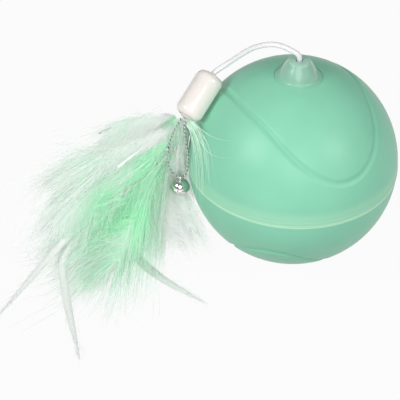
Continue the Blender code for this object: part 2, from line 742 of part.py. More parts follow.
def key_angles():
    """Angles of the keys round the collar."""
    return [2 * math.pi * (i + 0.5) / KEY_COUNT for i in range(KEY_COUNT)]


def make_lower_shell(centre):
    """The hard lower bowl with its collar, keys, axle boss and ribs."""
    boss_foot = -math.sqrt(SHELL_INNER**2 - BOSS_RADIUS**2)
    collar_foot = -math.sqrt(SHELL_INNER**2 - COLLAR_INNER**2)
    collar_foot = min(collar_foot, LOWER_RIM - COLLAR_FOOT)
    profile = [(0.0, LOWER_BOSS_TOP), (BOSS_RADIUS, LOWER_BOSS_TOP)]
    profile += arc(SHELL_INNER, boss_foot, collar_foot)
    profile += [
        (COLLAR_INNER, LOWER_RIM),
        (COLLAR_INNER, COLLAR_TOP),
        (COLLAR_OUTER, COLLAR_TOP),
        (COLLAR_OUTER, LOWER_RIM),
    ]
    outer = arc(SHELL_OUTER, LOWER_RIM, -SHELL_OUTER)
    outer[-1] = (0.0, -SHELL_OUTER)
    shell = turned("lower_shell", profile + outer, BALL_STEPS, material="milky_shell")
    place(shell, centre)

    for i, angle in enumerate(key_angles()):
        size = (KEY_PROUD + COLLAR_WALL / 2, KEY_WIDTH, KEY_HEIGHT)
        reach = COLLAR_OUTER + KEY_PROUD / 2 - COLLAR_WALL / 4
        middle = (reach, 0.0, COLLAR_TOP - LIP_ROUND - KEY_HEIGHT / 2)
        key = box(f"key_{i + 1}", size, middle, TOOLS)
        key.rotation_euler = (0.0, 0.0, angle)
        join(shell, key)

    wall_middle = SHELL_OUTER - SHELL_WALL / 2
    rib_top = LOWER_BOSS_TOP - BOSS_RIB_DROP
    foot = arc(wall_middle, rib_top - BOSS_RIB_FALL, -math.sqrt(wall_middle**2 - BORE_RADIUS**2))
    outline = [(BORE_RADIUS + BUSH_WALL, rib_top)] + list(reversed(foot))
    for i in range(BOSS_RIB_COUNT):
        angle = 2 * math.pi * i / BOSS_RIB_COUNT
        half = BOSS_RIB_THICKNESS / 2
        rib = plate(f"boss_rib_{i + 1}", [outline], -half, half, TOOLS)
        rib.data.transform(Matrix.Rotation(math.pi / 2, 4, "X"))
        rib.rotation_euler = (0.0, 0.0, angle)
        join(shell, rib)

    spigot_low = LOWER_BOSS_TOP - KEY_SQUARE_HEIGHT
    spigot_high = LOWER_BOSS_TOP + KEY_SQUARE_HEIGHT
    size = (KEY_SQUARE, KEY_SQUARE, spigot_high - spigot_low)
    join(shell, box("gear_key", size, (0.0, 0.0, (spigot_low + spigot_high) / 2), TOOLS))
    hole = cylinder("axle_socket", BORE_RADIUS, -AXLE_FOOT - SEAT_GAP, spigot_high + OVERRUN, group=TOOLS)
    cut(shell, hole)


def make_upper_shell(upper):
    """The hard upper dome with the nipple's socket, the bush's boss and the keyways."""
    boss_foot = math.sqrt(SHELL_INNER**2 - BOSS_RADIUS**2)
    profile = [(0.0, SOCKET_BOTTOM), (SOCKET_RADIUS, SOCKET_BOTTOM)]
    profile += arc(SHELL_OUTER, math.sqrt(SHELL_OUTER**2 - SOCKET_RADIUS**2), UPPER_RIM)
    profile += arc(SHELL_INNER, UPPER_RIM, boss_foot)
    profile += [
        (BOSS_RADIUS, BUSH_BOTTOM),
        (BUSH_HOLE_RADIUS, BUSH_BOTTOM),
        (BUSH_HOLE_RADIUS, BUSH_TOP),
        (0.0, BUSH_TOP),
    ]
    shell = turned("upper_shell", profile, BALL_STEPS, material="milky_shell")
    place(shell, upper)
    for i, angle in enumerate(key_angles()):
        depth = KEY_PROUD + KEY_CLEARANCE + COLLAR_CLEARANCE
        low = UPPER_RIM - OVERRUN
        high = COLLAR_TOP + KEY_CLEARANCE
        size = (depth, KEY_WIDTH + 2 * KEY_CLEARANCE, high - low)
        middle = (COLLAR_OUTER + KEY_PROUD + KEY_CLEARANCE - depth / 2, 0.0, (low + high) / 2)
        keyway = box(f"keyway_{i + 1}", size, middle, TOOLS)
        keyway.rotation_euler = (0.0, 0.0, angle)
        cut(shell, keyway)


def make_nipple(upper):
    """The translucent grommet at the pole, hollow for the cord's bead."""
    under = COVER_INNER
    bore = CORD_RADIUS + CORD_CLEARANCE
    tip = NIPPLE_TIP_HEIGHT
    foot_height = math.sqrt(BALL_RADIUS**2 - NIPPLE_FOOT_RADIUS**2)
    rim_height = math.sqrt(BALL_RADIUS**2 - NIPPLE_DISC_RADIUS**2)
    rounding = NIPPLE_TIP_ROUND
    shoulder = [
        (NIPPLE_TIP_RADIUS - rounding + x, tip - rounding + y)
        for x, y in part_circle(rounding, math.pi / 2, -math.pi / 2, ROUNDING_STEPS)
    ]
    profile = [(bore, tip)] + shoulder
    profile += [(NIPPLE_FOOT_RADIUS, foot_height), (NIPPLE_DISC_RADIUS, rim_height)]
    profile += arc(under, math.sqrt(under**2 - NIPPLE_DISC_RADIUS**2),
                   math.sqrt(under**2 - NIPPLE_NECK_RADIUS**2))
    profile += [
        (NIPPLE_NECK_RADIUS, SOCKET_BOTTOM + SEAT_GAP),
        (NIPPLE_CAVITY_RADIUS, SOCKET_BOTTOM + SEAT_GAP),
        (NIPPLE_CAVITY_RADIUS, tip - NIPPLE_CEILING),
        (bore, tip - NIPPLE_CEILING),
    ]
    nipple = turned("tail_nipple", profile, NIPPLE_STEPS, material="mint_clear", closed=True)
    place(nipple, upper)


def make_bush(name, low, high, flange_low, parent):
    """A brass sleeve for the axle; flange_low is None where it has no flange."""
    profile = [(BORE_RADIUS, high), (BUSH_RADIUS, high)]
    if flange_low is not None:
        flange = [(BUSH_FLANGE, high), (BUSH_FLANGE, flange_low), (BUSH_RADIUS, flange_low)]
        profile = [(BORE_RADIUS, high)] + flange
    profile += [(BUSH_RADIUS, low), (BORE_RADIUS, low)]
    place(turned(name, profile, ROUND_STEPS, material="brass", closed=True), parent)


def make_axle(centre):
    """The steel axle, the clip in its groove and the gear fixed to the lower boss."""
    clip_low = HUB_TOP + SEAT_GAP + BUSH_FLANGE_THICKNESS + SEAT_GAP
    groove_low = clip_low - SEAT_GAP / 2
    groove_high = clip_low + CLIP_THICKNESS + SEAT_GAP / 2
    waist = AXLE_RADIUS - CLIP_GROOVE_DEPTH
    nose = AXLE_RADIUS - CLIP_GROOVE_DEPTH
    profile = [
        (0.0, AXLE_TOP),
        (nose, AXLE_TOP),
        (AXLE_RADIUS, AXLE_TOP - CLIP_GROOVE_DEPTH),
        (AXLE_RADIUS, groove_high),
        (waist, groove_high),
        (waist, groove_low),
        (AXLE_RADIUS, groove_low),
        (AXLE_RADIUS, -AXLE_FOOT),
        (0.0, -AXLE_FOOT),
    ]
    place(turned("axle", profile, ROUND_STEPS, material="steel"), centre)

    inner = waist + RUNNING_CLEARANCE
    opening = math.asin(CLIP_MOUTH / 2 / inner)
    wide = math.asin(CLIP_MOUTH / 2 / CLIP_RADIUS)
    outline = part_circle(CLIP_RADIUS, wide, 2 * (math.pi - wide), CLIP_STEPS)
    outline += part_circle(inner, -opening, -2 * (math.pi - opening), CLIP_STEPS)
    clip = plate("axle_clip", [outline], clip_low, clip_low + CLIP_THICKNESS, material="steel")
    place(clip, centre)

    outlines = [gear_outline(FIXED_TEETH, 0.0), circle(BORE_RADIUS + RUNNING_CLEARANCE)]
    gear = plate("fixed_gear", outlines, FIXED_GEAR_LOW, FIXED_GEAR_TOP, material="white_gear")
    place(gear, centre)
    side = KEY_SQUARE + 2 * SEAT_GAP
    depth = KEY_SQUARE_HEIGHT + SEAT_GAP / 2
    low = FIXED_GEAR_LOW - OVERRUN
    high = LOWER_BOSS_TOP + depth + SEAT_GAP / 2
    cut(gear, box("gear_keyhole", (side, side, high - low), (0.0, 0.0, (low + high) / 2), TOOLS))


def tray_outline(radius, back):
    """The pod's D shape: a round with a flat back."""
    end = math.acos(-back / radius)
    return part_circle(radius, -end, 2 * end, POD_STEPS)


def make_chassis(pod):
    """The tray that carries the motor, the battery and the board, and its lid."""
    tray = plate("chassis_base", [tray_outline(POD_RADIUS, POD_BACK)], POD_FLOOR_LOW, POD_RISE,
                 material="pod_plastic")
    place(tray, pod)
    pocket = plate("tray_pocket", [tray_outline(POD_RADIUS - POD_WALL, POD_BACK - POD_WALL)],
                   POD_FLOOR_TOP, POD_RISE + OVERRUN, TOOLS)
    cut(tray, pocket)
    sunk = POD_WALL / 2
    hub_profile = [
        (0.0, HUB_TOP),
        (HUB_RADIUS, HUB_TOP),
        (HUB_RADIUS, POD_FLOOR_TOP - sunk),
        (HUB_NOSE_RADIUS, POD_FLOOR_TOP - sunk),
        (HUB_NOSE_RADIUS, HUB_NOSE_LOW),
        (0.0, HUB_NOSE_LOW),
    ]
    join(tray, turned("hub", hub_profile, ROUND_STEPS, TOOLS))
    low = POD_FLOOR_TOP - sunk
    for i, at in enumerate(POST_PLACES):
        join(tray, cylinder(f"post_{i + 1}", POST_RADIUS, low, POD_RISE, at, TOOLS, sides=SMALL_STEPS))
    for i, at in enumerate(BOARD_POST_PLACES):
        high = BOARD_HEIGHT - SEAT_GAP
        join(tray, cylinder(f"board_post_{i + 1}", BOARD_POST_RADIUS, low, high, at, TOOLS,
                            sides=SMALL_STEPS))
    high = POD_FLOOR_TOP + PIN_BOSS_HEIGHT
    join(tray, cylinder("pin_boss", PIN_BOSS_RADIUS, low, high, IDLER_PLACE, TOOLS, sides=SMALL_STEPS))
    for side in (-1, 1):
        size = (CRADLE_LENGTH, CRADLE_THICKNESS, CRADLE_HEIGHT + sunk)
        away = MOTOR_FLAT + SEAT_GAP + CRADLE_THICKNESS / 2
        middle = (MOTOR_PLACE[0], MOTOR_PLACE[1] + side * away, low + (CRADLE_HEIGHT + sunk) / 2)
        join(tray, box(f"motor_cradle_{side + 2}", size, middle, TOOLS))

    cut(tray, cylinder("hub_bore", BUSH_HOLE_RADIUS, HUB_NOSE_LOW - OVERRUN, HUB_TOP + OVERRUN, group=TOOLS))
    nose = MOTOR_NOSE_RADIUS + SEAT_GAP
    cut(tray, cylinder("motor_hole", nose, POD_FLOOR_LOW - OVERRUN, POD_FLOOR_TOP + SEAT_GAP,
                       MOTOR_PLACE, TOOLS))
    pin = IDLER_PIN_RADIUS + RUNNING_CLEARANCE
    cut(tray, cylinder("pin_hole", pin, POD_FLOOR_LOW - OVERRUN, high - SEAT_GAP, IDLER_PLACE, TOOLS,
                       sides=SMALL_STEPS))
    thread = SCREW_RADIUS + RUNNING_CLEARANCE
    for i, at in enumerate(POST_PLACES):
        bottom = POD_RISE - SCREW_LENGTH
        cut(tray, cylinder(f"post_hole_{i + 1}", thread, bottom, POD_RISE + OVERRUN, at, TOOLS,
                           sides=SMALL_STEPS))
    for i, at in enumerate(BOARD_POST_PLACES):
        bottom = POD_FLOOR_TOP
        cut(tray, cylinder(f"board_hole_{i + 1}", thread, bottom, BOARD_HEIGHT + OVERRUN, at, TOOLS,
                           sides=SMALL_STEPS))

    holes = [circle(HUB_RADIUS + SEAT_GAP)]
    holes.append(stadium(USB_WIDTH + 2 * SEAT_GAP, USB_DEPTH + 2 * SEAT_GAP, USB_PLACE))
    holes.append(circle(BUTTON_RADIUS + SEAT_GAP, SWITCH_PLACE))
    holes += [circle(LED_RADIUS + SEAT_GAP, at, SMALL_STEPS) for at in LED_PLACES]
    holes += [circle(SCREW_RADIUS + SEAT_GAP, at, SMALL_STEPS) for at in POST_PLACES]
    lid = plate("chassis_cover", [tray_outline(POD_RADIUS, POD_BACK)] + holes, LID_LOW, LID_TOP,
                material="pod_plastic")
    place(lid, pod)


def make_screw(name, at, seat, length, pod):
    """A pan-head screw whose head rests on a seat."""
    under = seat + SEAT_GAP
    top = under + SCREW_HEAD_HEIGHT
    profile = [
        (0.0, top),
        (SCREW_HEAD_RADIUS * SCREW_CROWN_SHARE, top),
        (SCREW_HEAD_RADIUS, under + SCREW_HEAD_HEIGHT / 2),
        (SCREW_HEAD_RADIUS, under),
        (SCREW_RADIUS, under),
        (SCREW_RADIUS, under - length + SCREW_RADIUS),
        (0.0, under - length),
    ]
    place(turned(name, profile, SMALL_STEPS, material="steel"), pod, (*at, 0.0))


def make_drive(pod, idler, pinion):
    """Motor, pinion, idler and the idler's pin."""
    low = POD_FLOOR_TOP + SEAT_GAP
    top = low + MOTOR_HEIGHT
    nose_low = low - MOTOR_NOSE_LENGTH
    profile = [
        (0.0, top),
        (MOTOR_RADIUS - MOTOR_CORNER, top),
        (MOTOR_RADIUS, top - MOTOR_CORNER),
        (MOTOR_RADIUS, low),
        (MOTOR_NOSE_RADIUS, low),
        (MOTOR_NOSE_RADIUS, nose_low),
        (0.0, nose_low),
    ]
    motor = turned("drive_motor", profile, ROUND_STEPS, material="steel")
    place(motor, pod, (*MOTOR_PLACE, 0.0))
    for side in (-1, 1):
        size = (2 * MOTOR_RADIUS + OVERRUN, MOTOR_RADIUS, MOTOR_HEIGHT + OVERRUN)
        middle = (0.0, side * (MOTOR_FLAT + MOTOR_RADIUS / 2), (low + top) / 2)
        flat = box(f"motor_flat_{side + 2}", size, middle, TOOLS)
        cut(motor, flat)
        flat.location = (*MOTOR_PLACE, 0.0)
    for side in (-1, 1):
        size = (MOTOR_TAB[0], MOTOR_TAB[1], 2 * MOTOR_TAB[2])
        tab = box(f"motor_tab_{side + 2}", size, (side * MOTOR_TAB_SPREAD, 0.0, top), TOOLS)
        join(motor, tab)
        tab.location = (*MOTOR_PLACE, 0.0)
    bore_high = low + MOTOR_HEIGHT / 4
    shaft_bore = SHAFT_RADIUS + RUNNING_CLEARANCE
    bore = cylinder("motor_bore", shaft_bore, nose_low - OVERRUN, bore_high, MOTOR_PLACE, TOOLS,
                    sides=SMALL_STEPS)
    cut(motor, bore)

    shaft_high = bore_high - SEAT_GAP
    profile = [(0.0, shaft_high), (SHAFT_RADIUS, shaft_high), (SHAFT_RADIUS, LARGE_GEAR_LOW),
               (0.0, LARGE_GEAR_LOW)]
    place(turned("motor_shaft", profile, SMALL_STEPS, material="steel"), pinion)
    phase = meshing_phase(PINION_ANGLE, 0.0, IDLER_LARGE_TEETH, PINION_TEETH)
    outlines = [gear_outline(PINION_TEETH, phase), circle(shaft_bore, count=SMALL_STEPS)]
    place(plate("motor_pinion", outlines, LARGE_GEAR_LOW, LARGE_GEAR_TOP, material="white_gear"), pinion)

    bore = circle(IDLER_PIN_RADIUS + RUNNING_CLEARANCE, count=SMALL_STEPS)
    gear = plate("idler_gear", [gear_outline(IDLER_LARGE_TEETH, 0.0), bore], LARGE_GEAR_LOW, LARGE_GEAR_TOP,
                 material="white_gear")
    place(gear, idler)
    phase = meshing_phase(IDLER_ANGLE, 0.0, FIXED_TEETH, IDLER_SMALL_TEETH)
    overlap = LARGE_GEAR_WIDTH / 4
    join(gear, plate("idler_small_gear", [gear_outline(IDLER_SMALL_TEETH, phase), bore], FIXED_GEAR_LOW,
                     LARGE_GEAR_LOW + overlap, TOOLS))

    head_top = FIXED_GEAR_LOW - SEAT_GAP
    pin_top = POD_FLOOR_TOP + PIN_BOSS_HEIGHT - 2 * SEAT_GAP
    profile = [
        (0.0, pin_top),
        (IDLER_PIN_RADIUS, pin_top),
        (IDLER_PIN_RADIUS, head_top),
        (IDLER_PIN_HEAD_RADIUS, head_top),
        (IDLER_PIN_HEAD_RADIUS, head_top - IDLER_PIN_HEAD),
        (0.0, head_top - IDLER_PIN_HEAD),
    ]
    place(turned("idler_pin", profile, SMALL_STEPS, material="steel"), pod, (*IDLER_PLACE, 0.0))


def make_power(pod):
    """The battery cell and the steel weight that cradles it."""
    half = BATTERY_LENGTH / 2
    profile = [
        (0.0, half + BATTERY_NUB_LENGTH),
        (BATTERY_NUB_RADIUS, half + BATTERY_NUB_LENGTH),
        (BATTERY_NUB_RADIUS, half),
        (BATTERY_RADIUS - BATTERY_CORNER, half),
        (BATTERY_RADIUS, half - BATTERY_CORNER),
        (BATTERY_RADIUS, -half + BATTERY_CORNER),
        (BATTERY_RADIUS - BATTERY_CORNER, -half),
        (0.0, -half),
    ]
    cell = turned("battery_cell", profile, ROUND_STEPS, material="battery_sleeve")
    place(cell, pod, (BATTERY_X, 0.0, BATTERY_HEIGHT), (-math.pi / 2, 0.0, 0.0))

    outer = POD_RADIUS - POD_WALL - SEAT_GAP
    turn = 2 * WEIGHT_HALF_ANGLE
    outline = part_circle(outer, -WEIGHT_HALF_ANGLE, turn, WEIGHT_STEPS)
    outline += part_circle(WEIGHT_INNER_RADIUS, WEIGHT_HALF_ANGLE, -turn, WEIGHT_STEPS)
    low = POD_FLOOR_TOP + SEAT_GAP
    weight = plate("counterweight", [outline], low, low + WEIGHT_HEIGHT, material="steel")
    place(weight, pod)
    trough = cylinder("battery_trough", BATTERY_RADIUS + SEAT_GAP, -2 * half, 2 * half, group=TOOLS)
    trough.data.transform(Matrix.Rotation(-math.pi / 2, 4, "X"))
    cut(weight, trough)
    trough.location = (BATTERY_X, 0.0, BATTERY_HEIGHT)


def make_board(pod, button):
    """The circuit board with its socket, lamps, switch and the button over it."""
    middle = [(a + b) / 2 for a, b in zip(BOARD_LOW, BOARD_HIGH)]
    size = [b - a for a, b in zip(BOARD_LOW, BOARD_HIGH)]
    board = box("circuit_board", (*size, BOARD_THICKNESS), (*middle, BOARD_HEIGHT + BOARD_THICKNESS / 2),
                material="board_green")
    place(board, pod)
    for i, at in enumerate(BOARD_POST_PLACES):
        hole = cylinder(f"board_screw_hole_{i + 1}", SCREW_RADIUS + SEAT_GAP / 2, BOARD_HEIGHT - OVERRUN,
                        BOARD_TOP + OVERRUN, at, TOOLS, sides=SMALL_STEPS)
        cut(board, hole)
        length = BOARD_THICKNESS + SEAT_GAP + (BOARD_HEIGHT - POD_FLOOR_TOP) / 2
        make_screw(f"board_screw_{i + 1}", at, BOARD_TOP, length, pod)
    for i, at in enumerate(POST_PLACES):
        make_screw(f"cover_screw_{i + 1}", at, LID_TOP, POD_LID + SCREW_LENGTH - 2 * SEAT_GAP, pod)

    low = BOARD_TOP + SEAT_GAP
    high = LID_TOP + USB_PROUD
    socket = plate("usb_socket", [stadium(USB_WIDTH, USB_DEPTH)], low, high, material="steel")
    place(socket, pod, (*USB_PLACE, 0.0))
    hollow = plate("usb_hollow", [stadium(USB_WIDTH - 2 * USB_WALL, USB_DEPTH - 2 * USB_WALL)],
                   low + USB_BASE, high + OVERRUN, TOOLS)
    cut(socket, hollow)
    hollow.location = (*USB_PLACE, 0.0)
    tongue_high = high - USB_TONGUE_RECESS
    tongue_low = low + USB_BASE / 2
    tongue = box("usb_tongue", (*USB_TONGUE, tongue_high - tongue_low),
                 (0.0, 0.0, (tongue_high + tongue_low) / 2), TOOLS)
    join(socket, tongue)
    tongue.location = (*USB_PLACE, 0.0)

    for i, at in enumerate(LED_PLACES):
        flange_low = LID_TOP + LED_RADIUS / 2 - LED_BODY_HEIGHT
        top = flange_low + LED_BODY_HEIGHT
        dome = [(x, top - LED_RADIUS + y)
                for x, y in part_circle(LED_RADIUS, math.pi / 2, -math.pi / 2, ROUNDING_STEPS)]
        dome[0] = (0.0, top)
        profile = dome + [
            (LED_RADIUS, flange_low + LED_FLANGE_HEIGHT),
            (LED_FLANGE_RADIUS, flange_low + LED_FLANGE_HEIGHT),
            (LED_FLANGE_RADIUS, flange_low),
            (0.0, flange_low),
        ]
        lamp = turned(f"led_lamp_{i + 1}", profile, SMALL_STEPS, material="red_lamp")
        place(lamp, pod, (*at, 0.0))
        for side in (-1, 1):
            leg_high = flange_low + LED_FLANGE_HEIGHT / 2
            leg_low = BOARD_TOP + SEAT_GAP
            leg = box(f"led_leg_{2 * i + (side + 3) // 2}", (LED_LEG, LED_LEG, leg_high - leg_low),
                      (side * LED_LEG_SPREAD, 0.0, (leg_high + leg_low) / 2), TOOLS)
            join(lamp, leg)
            leg.location = (*at, 0.0)

    switch_low = BOARD_TOP + SEAT_GAP
    switch_high = switch_low + SWITCH_HEIGHT
    size = (SWITCH_SIDE, SWITCH_SIDE, SWITCH_HEIGHT)
    middle = (0.0, 0.0, switch_low + SWITCH_HEIGHT / 2)
    switch = box("power_switch", size, middle, material="black_plastic")
    place(switch, pod, (*SWITCH_PLACE, 0.0))
    plunger_high = switch_high + SWITCH_PLUNGER_HEIGHT
    plunger_low = switch_high - SWITCH_PLUNGER_HEIGHT
    plunger = cylinder("switch_plunger", SWITCH_PLUNGER_RADIUS, plunger_low, plunger_high, group=TOOLS,
                       sides=SMALL_STEPS)
    join(switch, plunger)
    plunger.location = (*SWITCH_PLACE, 0.0)

    top = LID_TOP + BUTTON_PROUD
    flange_top = LID_LOW - SEAT_GAP
    flange_low = flange_top - BUTTON_FLANGE_HEIGHT
    stem_low = plunger_high + BUTTON_TRAVEL + SEAT_GAP
    profile = [
        (0.0, top),
        (BUTTON_RADIUS - BUTTON_CORNER, top),
        (BUTTON_RADIUS, top - BUTTON_CORNER),
        (BUTTON_RADIUS, flange_top),
        (BUTTON_FLANGE_RADIUS, flange_top),
        (BUTTON_FLANGE_RADIUS, flange_low),
        (BUTTON_STEM_RADIUS, flange_low),
        (BUTTON_STEM_RADIUS, min(stem_low, flange_low)),
        (0.0, min(stem_low, flange_low)),
    ]
    place(turned("power_button", profile, ROUND_STEPS, material="black_plastic"), button)


def make_leads(pod):
    """The two motor leads and the two battery leads, their routes in shares of the tray's sizes."""
    motor_top = POD_FLOOR_TOP + SEAT_GAP + MOTOR_HEIGHT + MOTOR_TAB[2] + SEAT_GAP + LEAD_RADIUS
    pad = BOARD_TOP + SEAT_GAP + LEAD_RADIUS
    x, y = MOTOR_PLACE
    battery_end = BATTERY_LENGTH / 2 + BATTERY_NUB_LENGTH + SEAT_GAP
    starts = (
        (x + MOTOR_TAB_SPREAD, y, motor_top),
        (x - MOTOR_TAB_SPREAD, y, motor_top),
        (BATTERY_X, battery_end + LEAD_RADIUS, BATTERY_HEIGHT),
        (BATTERY_X, -BATTERY_LENGTH / 2 - SEAT_GAP - LEAD_RADIUS, BATTERY_HEIGHT),
    )
    leads = (
        ("motor_lead_red", "red_lead", MOTOR_LEAD_RED_SHARES),
        ("motor_lead_black", "black_plastic", MOTOR_LEAD_BLACK_SHARES),
        ("battery_lead_red", "red_lead", BATTERY_LEAD_RED_SHARES),
        ("battery_lead_black", "black_plastic", BATTERY_LEAD_BLACK_SHARES),
    )
    for (name, material, route_shares), start, pad_shares in zip(leads, starts, LEAD_PAD_SHARES):
        route = [Vector((x * POD_RADIUS, y * POD_RADIUS, z * POD_RISE)) for x, y, z in route_shares]
        end = Vector((*pad_shares, 0.0)) * POD_RADIUS + Vector((0.0, 0.0, pad))
        points = smooth_route([start, *route, end], LEAD_POINTS)
        place(tube(name, points, LEAD_RADIUS, material=material), pod)


def lean_frame():
    """The ferrule's mouth, its axis towards the mouth, and two directions across it."""
    outward = Vector((
        math.cos(LEAN_ELEVATION) * math.cos(LEAN_AZIMUTH),
        math.cos(LEAN_ELEVATION) * math.sin(LEAN_AZIMUTH),
        math.sin(LEAN_ELEVATION),
    ))
    down = Vector((
        math.sin(LEAN_ELEVATION) * math.cos(LEAN_AZIMUTH),
        math.sin(LEAN_ELEVATION) * math.sin(LEAN_AZIMUTH),
        -math.cos(LEAN_ELEVATION),
    ))
    aside = Vector((-math.sin(LEAN_AZIMUTH), math.cos(LEAN_AZIMUTH), 0.0))
    axis = down * math.cos(LEAN_TURN) + aside * math.sin(LEAN_TURN)
    # The ferrule touches the ball a little way up from its mouth
    mouth = outward * (BALL_RADIUS + FERRULE_BALL_GAP + FERRULE_RADIUS) + axis * FERRULE_CONTACT
    left = Vector((axis.z, 0.0, -axis.x)).normalized()
    back = axis.cross(left).normalized()
    return mouth, axis, left, back


def make_ferrule(tail, bend):
    """The white ferrule and the plug that the quills are bound into."""
    mouth, axis, left, back = lean_frame()
    turn = Matrix((left, back, axis)).transposed().to_euler()
    origin = mouth - bend
    top_round = [
        (FERRULE_RADIUS - FERRULE_TOP_ROUND + x, FERRULE_TOP_ROUND - FERRULE_LENGTH + y)
        for x, y in part_circle(FERRULE_TOP_ROUND, 0.0, -math.pi / 2, ROUNDING_STEPS)
    ]
    mouth_round = [
        (FERRULE_RADIUS - FERRULE_MOUTH_ROUND + x, y - FERRULE_MOUTH_ROUND)
        for x, y in part_circle(FERRULE_MOUTH_ROUND, math.pi / 2, -math.pi / 2, ROUNDING_STEPS)
    ]
    bore = CORD_RADIUS + CORD_CLEARANCE
    floor = FERRULE_BORE_DEPTH - FERRULE_LENGTH
    socket = FERRULE_SOCKET
    # In the ferrule's own frame +Z points out of the mouth
    profile = mouth_round + top_round
    profile += [(bore, -FERRULE_LENGTH), (bore, floor), (socket, floor), (socket, 0.0)]
    ferrule = turned("ferrule", profile, ROUND_STEPS, material="ferrule_white", closed=True)
    place(ferrule, tail, origin, turn)

    radius = socket - SEAT_GAP
    profile = [
        (0.0, BINDING_PROUD),
        (radius - BINDING_PROUD, BINDING_PROUD),
        (radius, 0.0),
        (radius, floor + SEAT_GAP),
        (0.0, floor + SEAT_GAP),
    ]
    place(turned("feather_binding", profile, SMALL_STEPS * 2, material="cord_white"), tail, origin, turn)


def feather(name, material, path, face, half_width, half_thickness, peak, twist):
    """A feather as a lens-shaped solid along a path, lofted through rings of growing width."""
    count = len(path)
    mesh = bpy.data.meshes.new(name)
    work = bmesh.new()
    rings = []
    for i, point in enumerate(path):
        along = (path[min(i + 1, count - 1)] - path[max(i - 1, 0)]).normalized()
        across = Matrix.Rotation(twist, 3, along) @ along.cross(face).normalized()
        normal = across.cross(along).normalized()
        share = max(math.sin(math.pi * (i / (count - 1))**peak), TIP_SHARE if i else 0.0)
        wide = QUILL_RADIUS + (half_width - QUILL_RADIUS) * share
        thick = QUILL_RADIUS + (half_thickness - QUILL_RADIUS) * share
        ring = []
        for k in range(FEATHER_SIDES):
            angle = 2 * math.pi * (k + 0.5) / FEATHER_SIDES
            offset = across * wide * math.cos(angle) + normal * thick * math.sin(angle)
            ring.append(work.verts.new(point + offset))
        rings.append(ring)
    for low, high in zip(rings, rings[1:]):
        for k in range(FEATHER_SIDES):
            after = (k + 1) % FEATHER_SIDES
            work.faces.new((low[k], low[after], high[after], high[k]))
    work.faces.new(rings[0])
    work.faces.new(rings[-1])
    bmesh.ops.recalc_face_normals(work, faces=work.faces)
    work.to_mesh(mesh)
    work.free()
    mesh.shade_smooth()
    return link(bpy.data.objects.new(name, mesh), PARTS, material)


def make_feathers(tail, bend):
    """The plumes and hackles that fan out of the binding and come down to the floor."""
    mouth, axis, left, back = lean_frame()
    face_view = Vector((0.0, -math.cos(VIEW_TILT), math.sin(VIEW_TILT)))
    flat = Vector((0.0, 0.0, 1.0))
    kinds = (
        (PLUMES, face_view, PLUME_PEAK, PLUME_TWIST, PLUME_STATIONS),
        (HACKLES, flat, HACKLE_PEAK, 0.0, HACKLE_STATIONS),
    )
    for group, face, peak, twist, stations in kinds:
        for name, material, half_width, half_thickness, root_shares, route_shares in group:
            root = mouth + axis * (BINDING_PROUD + QUILL_GAP)
            root += left * root_shares[0] * FERRULE_SOCKET
            root += back * root_shares[1] * FERRULE_SOCKET
            start = root + axis * QUILL_RADIUS * 4
            route = [root, start] + [mouth + Vector(share) * TAIL_SPAN for share in route_shares]
            path = [point - bend for point in smooth_route(route, stations)]
            piece = feather(name, material, path, face, half_width, half_thickness, peak, twist)
            place(piece, tail)


def bell_lean(exit_point):
    """How far out of plumb the loop hangs, so that the bell keeps its gap to the ball."""
    bell = exit_point + Vector((0.0, 0.0, BELL_HEIGHT - STRING_BOTTOM))
    reach = BALL_RADIUS + BELL_BALL_GAP + BELL_RADIUS + BELL_BAND_PROUD
    return bell.x + math.sqrt(reach**2 - bell.y**2 - bell.z**2)


